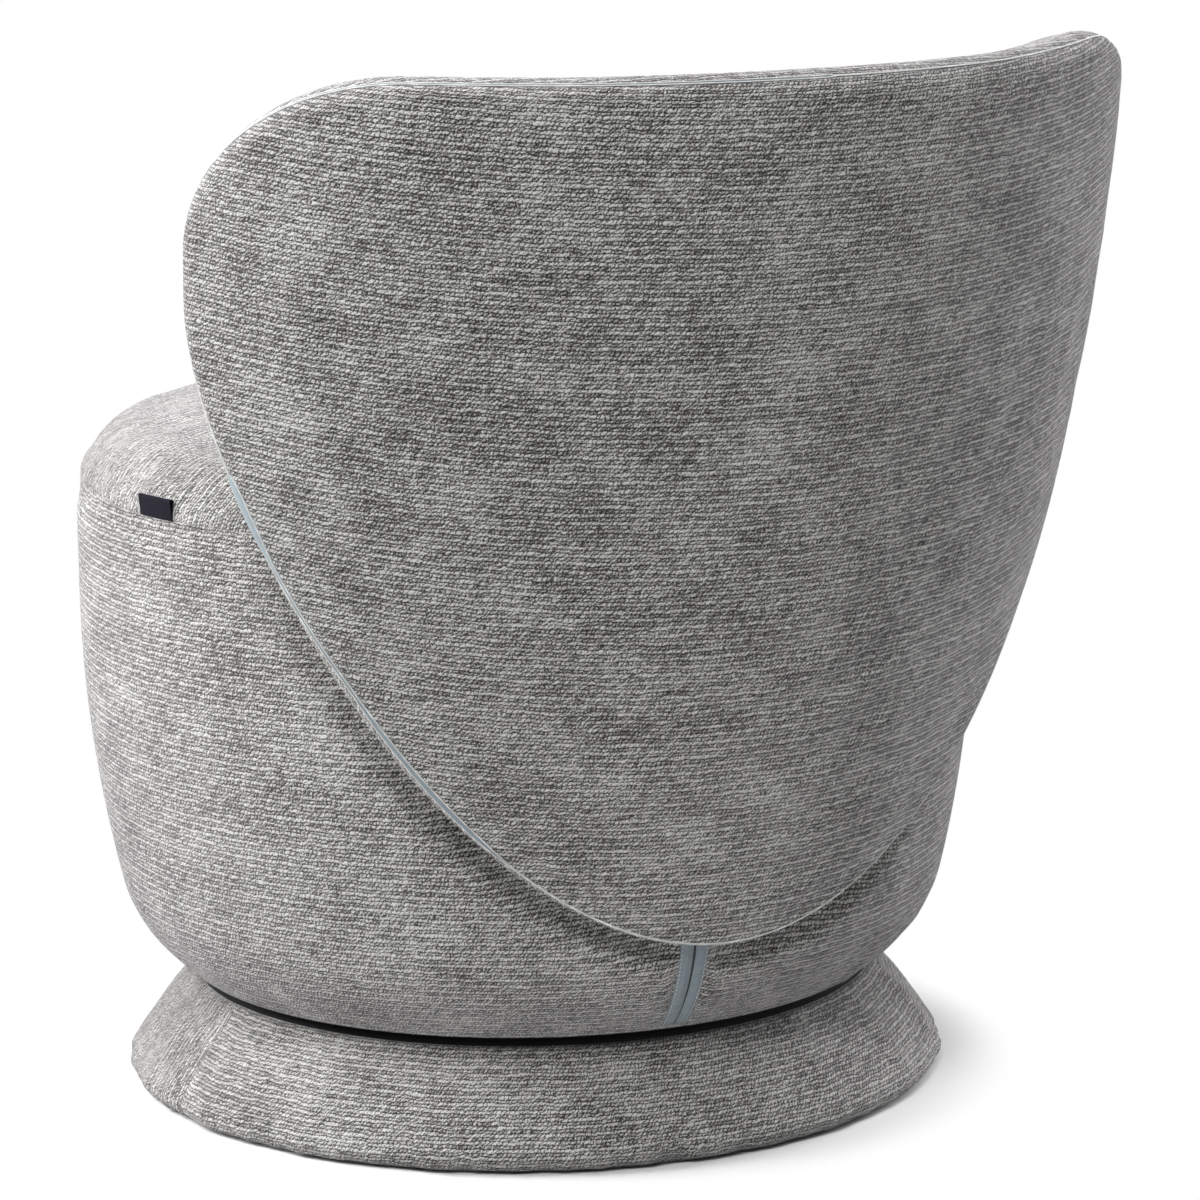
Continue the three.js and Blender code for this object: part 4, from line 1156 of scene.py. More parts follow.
@dataclass(frozen=True)
class Drum:
    """The round padded seat: its outline and its two pads."""

    rim_height: float = 84 * MM
    rim_radius: float = 250 * MM
    tuck_height: float = 150 * MM
    tuck_radius: float = 294 * MM
    tuck_angle: float = 15.0
    side_radius: float = 318 * MM
    full_height: float = 355 * MM
    seam_height: float = 440 * MM
    seam_fold: float = 0.9 * MM
    seam_gap: float = 0.15 * MM
    seam_depth: float = 14 * MM
    hem_radius: float = 214 * MM
    wall: float = 24 * MM
    hem_wall: float = 9 * MM
    top_round_width: float = 41 * MM
    top_round_height: float = 43 * MM
    crown: float = 9 * MM
    pad_radius: float = 285 * MM
    shelf_fall: float = 2 * MM
    lining_fall: float = 8 * MM
    lining_steps: int = 9
    hem_lift: float = 2.5 * MM
    rim_round: float = 2 * MM
    rim_turn: float = 0.6
    tuck_length: float = 84 * MM
    side_length: float = 290 * MM
    round_length: float = 70 * MM
    underside_ledge: float = 5 * MM
    underside_rise: float = 1 * MM
    plug_fall: float = 4 * MM
    plug_taper: float = 3 * MM
    plug_round: float = 9 * MM
    underside_hole: float = 30 * MM
    hem_hold: float = 4 * MM
    hem_reach: float = 45 * MM
    seam_firmness: float = 0.75
    seam_reach: float = 26 * MM
    hem_gather: float = 34 * MM
    seam_gather: float = 16 * MM
    press_depth: float = 7 * MM
    press_height: float = 60 * MM
    press_fade: float = 120 * MM
    lined_in: float = 3 * MM
    lined_under: float = 1 * MM
    lined_over: float = 3 * MM
    HEM_WAVES = ((41, 1.1 * MM, 0.3), (67, 0.9 * MM, 1.9), (97, 0.7 * MM, 4.1), (23, 0.9 * MM, 2.2))
    SEAM_WAVES = ((150, 0.25 * MM, 0.5), (211, 0.22 * MM, 2.6), (89, 0.35 * MM, 1.3))

    def tuck_arc(self) -> tuple[float, float, float, float]:
        """The centre, radius and lower end angle of the arc at the drum's lower edge."""
        across = self.tuck_radius - self.rim_radius
        up = self.tuck_height - self.rim_height
        lean = math.radians(self.tuck_angle)
        radius = (across**2 + up**2) / (2 * (across * math.cos(lean) - up * math.sin(lean)))
        r = self.tuck_radius - radius * math.cos(lean)
        z = self.tuck_height + radius * math.sin(lean)
        low = math.degrees(math.atan2(self.rim_height - z, self.rim_radius - r))
        return r, z, radius, low

    def radius(self, height: np.ndarray) -> np.ndarray:
        """The outer radius at each height between the rim and the seam."""
        r, z, arc_radius, _ = self.tuck_arc()
        height = np.asarray(height, dtype=float)
        rise = np.clip(z - height, 0, arc_radius)
        low = r + np.sqrt(arc_radius**2 - rise**2)
        share = np.clip((height - self.tuck_height) / (self.full_height - self.tuck_height), 0, 1)
        high = self.tuck_radius + (self.side_radius - self.tuck_radius) * (1 - (1 - share) ** 2)
        return np.where(height <= self.tuck_height, low, high)

    def side_line(self, step: Fineness) -> tuple[np.ndarray, np.ndarray]:
        """The side pad's closed section and how firmly each point of it is held."""
        r, z, arc_radius, low = self.tuck_arc()
        rim = (self.rim_radius - self.rim_round, self.rim_height)
        hem = straight((self.hem_radius, self.rim_height), rim, 6)
        start = low + self.rim_turn
        tuck = arc((r, z), arc_radius, start, -self.tuck_angle, step.count(self.tuck_length))
        fold = self.seam_fold
        top = self.seam_height - self.seam_gap
        fold_height = self.seam_height - fold - self.seam_gap
        heights = np.linspace(self.tuck_height, fold_height, step.count(self.side_length) + 1)
        side = np.stack([self.radius(heights), heights], -1)
        edge = arc((self.side_radius - fold, top - fold), fold, 0, 90, 4)
        outer = joined(hem, tuck, side, edge)
        shelf_end = (self.side_radius - self.seam_depth, top - self.shelf_fall)
        shelf = straight((self.side_radius - fold, top), shelf_end, 2)[1:]
        low_wall = self.rim_height + self.hem_wall
        inner_heights = np.linspace(top - self.lining_fall, low_wall, self.lining_steps)
        rise = (inner_heights - self.rim_height) / (2 * (self.tuck_height - self.rim_height))
        wall = self.hem_wall + (self.wall - self.hem_wall) * np.clip(rise, 0, 1)
        inner = np.stack([self.radius(inner_heights) - wall, inner_heights], -1)
        back = np.array([[self.hem_radius, self.rim_height + self.hem_lift]])
        line = np.concatenate([outer, shelf, inner, back])
        held = np.ones(len(line))
        held[len(hem) + 1 : len(outer) - len(edge)] = 0
        return line, held

    def side_skin(self, step: Fineness) -> Skin:
        """The side pad as rings round the axis."""
        return round_skin(*self.side_line(step), step.columns, self.side_radius)

    def top_line(self, step: Fineness) -> tuple[np.ndarray, np.ndarray]:
        """The top pad's section from its crown to the middle of its underside, and how it is held."""
        width, rise = self.top_round_width, self.top_round_height
        low = self.seam_height + self.seam_fold
        inner = self.side_radius - width
        share = np.linspace(0, 1, step.count(inner) + 1)[1:]
        crown = np.stack([inner * share, low + rise + self.crown * (1 - share**2)], -1)
        turn = np.radians(np.linspace(90, 0, step.count(self.round_length) + 1))
        round_edge = np.stack([inner + width * np.cos(turn), low + rise * np.sin(turn)], -1)
        fold = self.seam_fold
        edge = arc((self.side_radius - fold, low), fold, 0, -90, 4)
        outer = joined(crown, round_edge, edge)
        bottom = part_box("seat_cushion_foam")[0].z
        seam = self.seam_height
        ledge = (self.pad_radius + self.underside_ledge, seam + self.underside_rise)
        shelf = straight((self.side_radius - fold, seam), ledge, 3)[1:]
        foot = (self.pad_radius - self.plug_taper, bottom)
        wall = straight((self.pad_radius, seam - self.plug_fall), foot, 6)
        under = straight((self.pad_radius - self.plug_round, bottom), (self.underside_hole, bottom), 8)
        line = np.concatenate([outer, shelf, wall, under])
        held = np.ones(len(line))
        held[: len(outer) - len(edge)] = 0
        return line, held

    def top_skin(self, step: Fineness) -> Skin:
        """The top pad as rings from the crown's pole to the pole below it."""
        line, held = self.top_line(step)
        angle = np.linspace(0, TURN, step.columns, endpoint=False)
        whole = np.concatenate([[[0, line[0][1]]], line])
        reach = lengths(whole)[1:]
        peak = self.seam_height + self.seam_fold + self.top_round_height + self.crown
        skin = Skin()
        skin.add(polar(np.zeros(1), np.zeros(1), peak), np.zeros((1, 2)), 0)
        for (radius, height), place, hold in zip(line, reach, held):
            flat = place * np.stack([np.sin(angle), np.cos(angle)], -1)
            skin.add(polar(radius, angle, height), flat, hold)
        skin.add(polar(np.zeros(1), np.zeros(1), line[-1][1]), np.zeros((1, 2)), 1)
        thin_poles(skin, step)
        return skin

    def firm(self, places: np.ndarray, covered: np.ndarray) -> np.ndarray:
        """How firmly the drum's cloth is kept in place by its hem, its top seam and what lies on it."""
        height = places[:, 2]
        hem = 1 - smooth((height - self.rim_height - self.hem_hold) / self.hem_reach)
        from_seam = np.abs(height - self.seam_height)
        seam = self.seam_firmness * (1 - smooth(from_seam / self.seam_reach))
        return np.maximum(np.maximum(hem, seam), covered)

    def pucker(self, skin: Skin, covered: np.ndarray) -> None:
        """Draws small puckers into the cover where it is pulled under the rim, and at its seam."""
        places = skin.stacked()
        angle = bearing(places)
        height = places[:, 2]
        patch = 0.5 + 0.5 * np.sin(5 * angle + 1.1) * np.sin(3 * angle + 0.4)
        near_hem = np.exp(-(((height - self.rim_height) / self.hem_gather) ** 2))
        gathers = ripple(angle, self.HEM_WAVES) * near_hem * patch
        near_seam = np.exp(-(((height - self.seam_height) / self.seam_gather) ** 2))
        gathers += ripple(angle, self.SEAM_WAVES) * near_seam
        free = (1 - skin.weights()) * (1 - covered)
        skin.take(places + (gathers * free)[:, None] * outward(angle))

    def press_in(self, skin: Skin, covers: Sequence[Cover]) -> None:
        """Presses the cloth in beside the edge of the first cover, but not where another one lies."""
        places = skin.stacked()
        first, *others = (cover(places) for cover in covers)
        low = 1 - smooth((places[:, 2] - self.tuck_height - self.press_height) / self.press_fade)
        depth = self.press_depth * first * low * (1 - np.max(others, axis=0)) * (1 - skin.weights())
        skin.take(places - depth[:, None] * outward(bearing(places)))

    def make(self, finishes: Finishes, covers: Sequence[Cover]) -> None:
        """Builds and dresses the drum's two pads.

        Args:
            finishes: The chair's materials.
            covers: For each piece that lies on the drum, how firmly it presses on given places.
        """
        side = self.side_skin(FINE)
        places = side.stacked()
        covered = np.max([cover(places) for cover in covers], axis=0)
        swelling = Swelling(cap=6 * MM, slack=0.010)
        swelling.apply(side, self.side_skin(TRIAL), self.firm(places, covered))
        self.pucker(side, covered)
        self.press_in(side, covers)
        pad = side.build("drum_side_pad", girth=TURN * self.side_radius)
        place_pad(pad, finishes, Body.SEAT, 0.9, "seat_side_cover", "seat_side_foam")
        low, high = self.rim_height - self.lined_under, self.rim_height + self.lined_over
        line_inside(pad, finishes, self.rim_radius - self.lined_in, low, high)
        top = self.top_skin(FINE)
        places = top.stacked()
        covered = np.max([cover(places) for cover in covers], axis=0)
        swelling = Swelling(cap=4.5 * MM, slack=0.004, pressure=3.0)
        swelling.apply(top, self.top_skin(TRIAL), self.firm(places, covered))
        self.pucker(top, covered)
        pad = top.build("seat_top_pad")
        place_pad(pad, finishes, Body.SEAT, 0.85, "seat_top_cover", "seat_cushion_foam")


# Plinth


@dataclass(frozen=True)
class Plinth:
    """The low flared base under the drum."""

    floor_radius: float = 295.5 * MM
    top_radius: float = 250 * MM
    foot_round: float = 9 * MM
    edge_round: float = 5 * MM
    hem: float = 2 * MM
    clear: float = 1.5 * MM
    seam_angle: float = 85.0
    panel_turn: float = 150.0
    groove: float = 1.6 * MM
    groove_width: float = 3.2 * MM
    hem_low: float = 246 * MM
    hem_top: float = 214 * MM
    toe_inset: float = 1 * MM
    flare_length: float = 75 * MM
    seam_hold: float = 30 * MM
    seam_reach: float = 22 * MM
    lined_in: float = 7 * MM
    lined_under: float = 1.5 * MM
    lined_over: float = 5 * MM
    WAVES = ((37, 0.5 * MM, 0.8), (59, 0.35 * MM, 2.9), (19, 0.8 * MM, 1.4))

    def line(self, step: Fineness) -> tuple[np.ndarray, np.ndarray]:
        """The pad's closed section and how firmly each point of it is held."""
        low, top = (corner.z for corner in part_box("plinth_cover"))
        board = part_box("plinth_bottom_board")
        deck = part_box("plinth_top_board")
        foot = (self.floor_radius - self.foot_round, low + self.foot_round)
        shoulder = (self.top_radius - self.edge_round, top - self.edge_round)
        lean = math.degrees(math.atan2(foot[0] - shoulder[0], shoulder[1] - foot[1]))
        under = straight((self.hem_low, low), (foot[0] - self.toe_inset, low), 4)
        toe = arc(foot, self.foot_round, -90, lean, 8)
        edge = arc(shoulder, self.edge_round, lean, 90, 5)
        flare = straight(tuple(toe[-1]), tuple(edge[0]), step.count(self.flare_length))
        outer = joined(under, toe, flare, edge)
        over = straight((self.top_radius - self.edge_round, top), (self.hem_top, top), 4)[1:]
        board_radius = board[1].x + self.clear
        deck_radius = deck[1].x + self.clear
        inner = np.array(
            [
                [self.hem_top, top - self.hem],
                [deck_radius, top - self.hem],
                [deck_radius, board[1].z + self.clear],
                [board_radius, board[1].z + self.clear],
                [board_radius, low + self.hem],
                [self.hem_low, low + self.hem],
            ]
        )
        line = np.concatenate([outer, over, inner])
        held = np.ones(len(line))
        held[len(under) + 1 : len(outer) - len(edge)] = 0
        return line, held

    def skin(self, step: Fineness) -> Skin:
        """The pad as rings round the axis."""
        return round_skin(*self.line(step), step.columns, self.floor_radius)

    def sew(self, skin: Skin) -> None:
        """Sinks the upright seams where the cover's panels meet and ripples the cloth beside them."""
        places = skin.stacked()
        angle = bearing(places)
        sink = ripple(angle, self.WAVES)
        for seam in (self.seam_angle, self.seam_angle + self.panel_turn):
            off = (angle - math.radians(seam) + math.pi) % TURN - math.pi
            near = off * self.floor_radius
            sink -= self.groove * np.exp(-((near / self.groove_width) ** 2))
        skin.take(places + (sink * (1 - skin.weights()))[:, None] * outward(angle))

    def turn_panel(self, pad: bpy.types.Object) -> None:
        """Lays the rows of one panel upright, as its cloth is cut the other way."""
        mesh = pad.data
        angle = np.degrees(bearing(face_centres(mesh)))
        inside = (angle - self.seam_angle) % 360 < self.panel_turn
        layer = mesh.uv_layers[CLOTH_MAP].data
        flat = np.empty(len(layer) * 2)
        layer.foreach_get("uv", flat)
        flat = flat.reshape(-1, 2)
        turned = np.repeat(inside, face_values(mesh, "loop_total", int))
        flat[turned] = flat[turned][:, ::-1]
        layer.foreach_set("uv", flat.ravel())

    def make(self, finishes: Finishes) -> None:
        """Builds and dresses the plinth's pad."""
        fine = self.skin(FINE)
        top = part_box("plinth_cover")[1].z
        firm = smooth((fine.stacked()[:, 2] - top + self.seam_hold) / self.seam_reach)
        Swelling(cap=4 * MM, slack=0.006, pressure=2.0).apply(fine, self.skin(TRIAL), firm)
        self.sew(fine)
        pad = fine.build("plinth_pad", girth=TURN * self.floor_radius)
        self.turn_panel(pad)
        place_pad(pad, finishes, Body.BASE, 0.8, "plinth_cover", "plinth_foam")
        low, high = top - self.lined_under, top + self.lined_over
        line_inside(pad, finishes, self.top_radius - self.lined_in, low, high)


# Back


@dataclass(frozen=True)
class Leaf:
    """The leaf-shaped back, bent round the drum: outer panel, inner pad, seam and long zip."""

    drum: Drum
    tip_height: float = 154 * MM
    top_height: float = 761 * MM
    shoulder_drop: float = 2 * MM
    wing_height: float = 601 * MM
    corner_height: float = 640 * MM
    half_angle: float = math.radians(64.8)
    corner_angle: float = math.radians(40)
    leaf_power: float = 1.412
    low_radius: float = 303 * MM
    top_radius: float = 396 * MM
    flare_power: float = 2.2
    recline: float = 60 * MM
    recline_power: float = 1.8
    top_thickness: float = 60 * MM
    centre_height: float = 500 * MM
    edge_round: float = 20 * MM
    drum_gap: float = 2.4 * MM
    seam_turn_low: float = math.radians(22)
    seam_turn_high: float = math.radians(45)
    shoulder_lift: float = 6 * MM
    middle_drop: float = 4 * MM
    cover: float = 2.5 * MM
    shell_depth: float = 3 * MM
    pad_share: float = 0.12
    shell: float = 7.5 * MM
    cone_sine: float = 0.15
    zip_high: float = 494 * MM
    zip_low: float = 205 * MM
    seam_wide: float = 0.8 * MM
    seam_hold: float = 2.5 * MM
    seam_reach: float = 24 * MM
    widest_turn: float = math.radians(20)
    lip_turn: float = 0.06
    lip_depth: float = 0.7 * MM
    inner_lip_depth: float = 2.2 * MM
    inner_lip_reach: float = 3.4 * MM
    face_length: float = 290 * MM
    wall_step: float = 40 * MM
    outer_rim_length: float = 14 * MM
    inner_rim_length: float = 47 * MM
    press_hold: float = 3 * MM
    press_reach: float = 24 * MM
    cord_radius: float = 0.43 * MM
    cord_lift: float = 0.15 * MM
    cord_overlap: float = 0.1 * MM
    tape_depth: float = 0.3 * MM
    tape_overlap: float = 0.3 * MM
    tape_thickness: float = 0.6 * MM
    gape_shares: tuple[float, ...] = (0, 0.06, 0.12, 0.20, 0.40, 0.46, 0.66, 0.78, 0.85, 0.93, 0.98, 1)
    gape_widths: tuple[float, ...] = tuple(
        width * MM for width in (1.0, 1.4, 4.2, 5.0, 4.8, 3.4, 3.6, 4.6, 8.6, 10.2, 8.6, 2.0)
    )

    def share(self, z: np.ndarray) -> np.ndarray:
        """How far up the back a height lies, from 0 at its tip."""
        return np.clip((z - self.tip_height) / (self.top_height - self.tip_height), 0, None)

    def outer_radius(self, z: np.ndarray) -> np.ndarray:
        """The radius of the back's outer face, before it reclines."""
        rest = np.clip(1 - self.share(z), 0, 1)
        return self.low_radius + (self.top_radius - self.low_radius) * (1 - rest**self.flare_power)

    def lean(self, z: np.ndarray) -> np.ndarray:
        """How far the back leans backwards at a height."""
        return self.recline * self.share(z) ** self.recline_power

    def drum_face(self, a: np.ndarray, z: np.ndarray) -> np.ndarray:
        """The inner face's radius where it follows the drum."""
        shift = self.lean(z)
        reach = self.drum.radius(np.minimum(z, self.drum.seam_height)) + self.drum_gap
        return -shift * np.cos(a) + np.sqrt(reach**2 - (shift * np.sin(a)) ** 2)

    def thickness(self, a: np.ndarray, z: np.ndarray) -> np.ndarray:
        """From the outer face to the inner one."""
        seam = self.drum.seam_height
        at_seam = self.drum_face(a, np.full_like(z, seam))
        top = self.top_radius - self.top_thickness
        up = np.clip((z - seam) / (self.top_height - seam), 0, None)
        inner = np.where(z <= seam, self.drum_face(a, z), at_seam + (top - at_seam) * up)
        return self.outer_radius(z) - inner

    def outline(self, columns: int) -> np.ndarray:
        """Angle and height of evenly spaced points round the leaf's edge, from its tip."""
        fine = np.linspace(0, math.pi / 2, 241)
        s = 1 - np.cos(fine)
        side = np.stack(
            [
                self.half_angle * np.sqrt(np.clip(1 - (1 - s) ** self.leaf_power, 0, 1)),
                self.tip_height + (self.wing_height - self.tip_height) * s,
            ],
            -1,
        )
        shoulder = self.top_height - self.shoulder_drop
        corner = np.stack(
            [
                self.corner_angle + (self.half_angle - self.corner_angle) * np.cos(fine),
                self.corner_height + (shoulder - self.corner_height) * np.sin(fine),
            ],
            -1,
        )
        t = np.linspace(1, 0, 61)
        top = np.stack([self.corner_angle * t, self.top_height - self.shoulder_drop * t**2], -1)
        half = np.concatenate([side, corner, top[1:]])
        whole = np.concatenate([half, (half * [-1, 1])[::-1][1:]])
        tilt = np.clip(self.share(whole[:, 1]), 0, 1) ** 4
        across = whole[:, 0] / self.half_angle
        lift = self.shoulder_lift * np.clip(-across - 0.35, 0, 1) / 0.65
        whole[:, 1] += tilt * (lift - self.middle_drop * np.exp(-((across / 0.6) ** 4)))
        metric = whole * [self.outer_radius(np.array(self.centre_height)).item(), 1]
        reach = lengths(metric)
        places = np.linspace(0, reach[-1], columns, endpoint=False)
        return np.stack([np.interp(places, reach, whole[:, 0]), np.interp(places, reach, whole[:, 1])], -1)

    def presses(self, places: np.ndarray) -> np.ndarray:
        """How firmly the back lies on each place of the drum: 1 under it, 0 well outside its edge."""
        scale = np.array([self.drum.side_radius, 1])
        where = np.stack([bearing(places), places[:, 2]], -1) * scale
        edge = self.outline(160) * scale
        far = np.full(len(where), 1.0)
        for spot in edge:
            far = np.minimum(far, np.hypot(*(where - spot).T))
        centre = np.array([0, self.centre_height])
        edge_way = np.arctan2(*(edge - centre).T)
        order = np.argsort(edge_way)
        reach = np.hypot(*(edge - centre).T)
        way = np.arctan2(*(where - centre).T)
        limit = np.interp(way, edge_way[order], reach[order], period=TURN)
        outside = np.hypot(*(where - centre).T) > limit
        return 1 - smooth(np.where(outside, far - self.press_hold, 0) / self.press_reach)

    def point(self, a: np.ndarray, z: np.ndarray, depth: np.ndarray) -> np.ndarray:
        """A place in the back, a depth in from its outer face."""
        place = polar(self.outer_radius(z) - depth, a, z)
        place[..., 1] += self.lean(z)
        return place

    def inside(self, edge: np.ndarray, share: np.ndarray) -> tuple[np.ndarray, np.ndarray]:
        """Angle and height of places at shares of the way from the centre to the edge."""
        return edge[..., 0] * share, self.centre_height + (edge[..., 1] - self.centre_height) * share

    def spoke(self, edge: np.ndarray) -> np.ndarray:
        """The length that a share of 1 stands for at the edge."""
        a, z = self.inside(edge, np.ones(len(edge)))
        b, y = self.inside(edge, np.full(len(edge), 0.98))
        return np.linalg.norm(self.point(a, z, 0 * a) - self.point(b, y, 0 * a), axis=-1) / 0.02

    def rim(self, edge: np.ndarray, turn: np.ndarray, offset: float = 0.0) -> np.ndarray:
        """Places on the rounded edge.

        Args:
            edge: Angles and heights of the outline.
            turn: How far round the edge, from 0 on the outer face to pi on the inner one.
            offset: How far beneath the surface.

        Returns:
            One place for each point of the outline.
        """
        inset = offset + (self.bead_radius(edge) - offset) * (1 - np.sin(turn))
        a, z = self.inside(edge, 1 - inset / self.spoke(edge))
        half = self.thickness(a, z) / 2
        return self.point(a, z, offset + (half - offset) * (1 - np.cos(turn)))

    def bead_radius(self, edge: np.ndarray) -> np.ndarray:
        """The radius of the rounded edge."""
        return np.minimum(self.edge_round, self.thickness(edge[:, 0], edge[:, 1]) / 2)

    def open_width(self, edge: np.ndarray) -> np.ndarray:
        """How far apart the two covers lie along the seam, which gapes at the long zip on one side."""
        share = (edge[:, 1] - self.zip_low) / (self.zip_high - self.zip_low)
        gape = np.interp(share, self.gape_shares, self.gape_widths)
        return np.where(edge[:, 0] > 0, gape, self.seam_wide)

    def seam_turns(self, edge: np.ndarray, side: float, extra: float = 0.0) -> np.ndarray:
        """The turn at one side of the seam: -1 for the outer panel and 1 for the inner pad."""
        half = self.open_width(edge) / 2 + extra
        turn = np.minimum(half / self.bead_radius(edge), self.widest_turn)
        return self.middle_turn(edge) + side * turn

    def middle_turn(self, edge: np.ndarray) -> np.ndarray:
        """The turn at the middle of the seam, which lies nearer the outer face along the zip."""
        high = smooth((edge[:, 1] - self.zip_high) / (self.wing_height - self.zip_high))
        return self.seam_turn_low + (self.seam_turn_high - self.seam_turn_low) * high

    def cloth_place(self, edge: np.ndarray, share: np.ndarray) -> np.ndarray:
        """Where the face's places lie on the flat fabric, whose rows are level at the middle."""
        a, z = self.inside(edge, share)
        ring = self.outer_radius(z) / self.cone_sine
        turn = a * self.cone_sine
        return np.stack([ring * np.sin(turn), z - ring * (1 - np.cos(turn))], -1)

    def rim_share(self, edge: np.ndarray) -> np.ndarray:
        """The share at which the edge begins to turn."""
        return 1 - self.bead_radius(edge) / self.spoke(edge)

    def panel_rings(
        self, skin: Skin, step: Fineness, edge: np.ndarray, outer: bool, offset: float, held: float
    ) -> None:
        """Adds the rings of one face from the centre out to where the edge begins to turn."""
        begin = self.rim_share(edge)
        for part in np.linspace(0, 1, step.count(self.face_length) + 1)[1:-1]:
            share = part * begin
            a, z = self.inside(edge, share)
            depth = offset if outer else self.thickness(a, z) - offset
            skin.add(self.point(a, z, depth), self.cloth_place(edge, share), held)

    def rim_rings(
        self, skin: Skin, edge: np.ndarray, outer: bool, starts: np.ndarray, ends: np.ndarray,
        steps: int, held: float, offset: float = 0.0,
    ) -> None:
        """Adds the rings of a stretch of the rounded edge, whose rows run on over it.

        Args:
            skin: The skin that takes them.
            edge: Angles and heights of the outline.
            outer: Whether the stretch belongs to the outer panel.
            starts: The turn at which the stretch starts, at each point of the outline.
            ends: The turn at which it ends.
            steps: How many steps it has.
            held: How firmly its cloth is held.
            offset: How far beneath the surface it lies.
        """
        base = self.cloth_place(edge, self.rim_share(edge))
        way = self.cloth_place(edge, np.ones(len(edge))) - base
        way /= np.maximum(np.linalg.norm(way, axis=1, keepdims=True), 1e-9)
        radius = (self.bead_radius(edge) + self.thickness(edge[:, 0], edge[:, 1]) / 2) / 2
        for part in np.linspace(0, 1, steps + 1):
            turn = starts + (ends - starts) * part
            over = (turn if outer else math.pi - turn) * radius
            skin.add(self.rim(edge, turn, offset), base + way * over[:, None], held)

    def pole(self, outer: bool, offset: float) -> np.ndarray:
        """The centre of a face."""
        a, z = np.zeros(1), np.full(1, self.centre_height)
        depth = np.full(1, offset) if outer else self.thickness(a, z) - offset
        return self.point(a, z, depth)

    def outer_skin(self, step: Fineness) -> Skin:
        """The outer panel with its thin padding, back to its own middle."""
        edge = self.outline(step.columns)
        middle = np.array([[0, self.centre_height]])
        seam = self.seam_turns(edge, -1)
        zero = np.zeros(len(edge))
        skin = Skin()
        skin.add(self.pole(True, 0), middle, 0)
        self.panel_rings(skin, step, edge, True, 0, 0)
        steps = max(2, step.count(self.outer_rim_length))
        self.rim_rings(skin, edge, True, zero, seam - self.lip_turn, steps, 0)
        skin.held[-2:] = [0.5, 1.0]
        self.rim_rings(skin, edge, True, seam, seam, 0, 1, self.lip_depth)
        self.rim_rings(skin, edge, True, seam, seam * 0, 2, 1, self.cover)
        wall = Skin()
        coarse = Fineness(step.columns, self.wall_step)
        self.panel_rings(wall, coarse, edge, True, self.cover, 1)
        for ring, flat in zip(wall.points[::-1], wall.flat[::-1]):
            skin.add(ring, flat, 1)
        skin.add(self.pole(True, self.cover), middle, 1)
        thin_poles(skin, step)
        return skin

    def inner_skin(self, step: Fineness) -> Skin:
        """The inner pad, from the face that the sitter leans on round the edge to the shell."""
        edge = self.outline(step.columns)
        middle = np.array([[0, self.centre_height]])
        seam = self.seam_turns(edge, 1)
        front = np.full(len(edge), math.pi)
        skin = Skin()
        skin.add(self.pole(False, 0), middle, 0)
        self.panel_rings(skin, step, edge, False, 0, 0)
        steps = max(3, step.count(self.inner_rim_length))
        self.rim_rings(skin, edge, False, front, seam + self.lip_turn, steps, 0)
        skin.held[-2:] = [0.5, 1.0]
        self.rim_rings(skin, edge, False, seam, seam, 0, 1, self.lip_depth)
        self.rim_rings(skin, edge, False, seam, seam, 0, 1, self.inner_lip_depth)
        deep = np.minimum(self.bead_radius(edge) * 0.8, self.inner_lip_reach)
        for part in (0.9, 0.8, 0.6, 0.4, 0.2):
            share = np.full(len(edge), part)
            a, z = self.inside(edge, share)
            local = self.thickness(a, z)
            under = np.minimum(self.shell_face(local), 0.72 * local)
            if part > 0.85:
                under = np.minimum(deep + self.pad_share * local, 0.6 * local)
            skin.add(self.point(a, z, under), self.cloth_place(edge, share), 1)
        local = self.thickness(np.zeros(1), middle[:, 1])
        skin.add(self.point(np.zeros(1), middle[:, 1], self.shell_face(local)), middle, 1)
        thin_poles(skin, step)
        return skin

    def shell_face(self, thickness: np.ndarray) -> np.ndarray:
        """How deep the inner face of the plywood shell lies where the back has a thickness."""
        return self.shell_depth + self.pad_share * thickness + self.shell

    def seam_path(
        self, side: float, extra: float, depth: float
    ) -> tuple[np.ndarray, np.ndarray, np.ndarray]:
        """The run of the seam round the whole back, from its highest point.

        Args:
            side: -1 for the outer panel's side of the seam, 1 for the inner pad's, 0 for the middle.
            extra: How far beyond that side it lies.
            depth: How far beneath the surface it lies.

        Returns:
            Its places, the directions away from the surface and the outline's points.
        """
        edge = self.outline(2 * FINE.columns)
        edge = np.roll(edge, -int(np.argmax(edge[:, 1])), axis=0)
        edge = np.concatenate([edge, edge[:1]])
        turn = self.seam_turns(edge, side, extra)
        places = self.rim(edge, turn, depth)
        out = places - self.rim(edge, turn, depth + 0.8 * MM)
        out /= np.linalg.norm(out, axis=1, keepdims=True)
        return places, out, edge

    def firm(self, places: np.ndarray) -> np.ndarray:
        """How firmly the seam keeps each place of the covers: 1 beside it, 0 further away."""
        tree = nearest_tree(self.seam_path(0, 0, 0)[0])
        far = np.array([tree.find(place)[2] for place in places])
        return 1 - smooth((far - self.seam_hold) / self.seam_reach)

    def make_pads(self, finishes: Finishes) -> None:
        """Builds and dresses the back's outer panel and inner pad."""
        outer = self.outer_skin(FINE)
        swelling = Swelling(cap=4 * MM, slack=0.004, pressure=2.0)
        swelling.apply(outer, self.outer_skin(TRIAL), self.firm(outer.stacked()))
        pad = outer.build("back_outer_panel")
        place_pad(pad, finishes, Body.SEAT, 0.9, "back_outer_cover", "back_outer_foam")
        inner = self.inner_skin(FINE)
        swelling = Swelling(cap=4 * MM, slack=0.006, pressure=3.0)
        swelling.apply(inner, self.inner_skin(TRIAL), self.firm(inner.stacked()))
        pad = inner.build("back_inner_pad")
        place_pad(pad, finishes, Body.SEAT, 0.85, "back_inner_cover", "back_inner_foam")

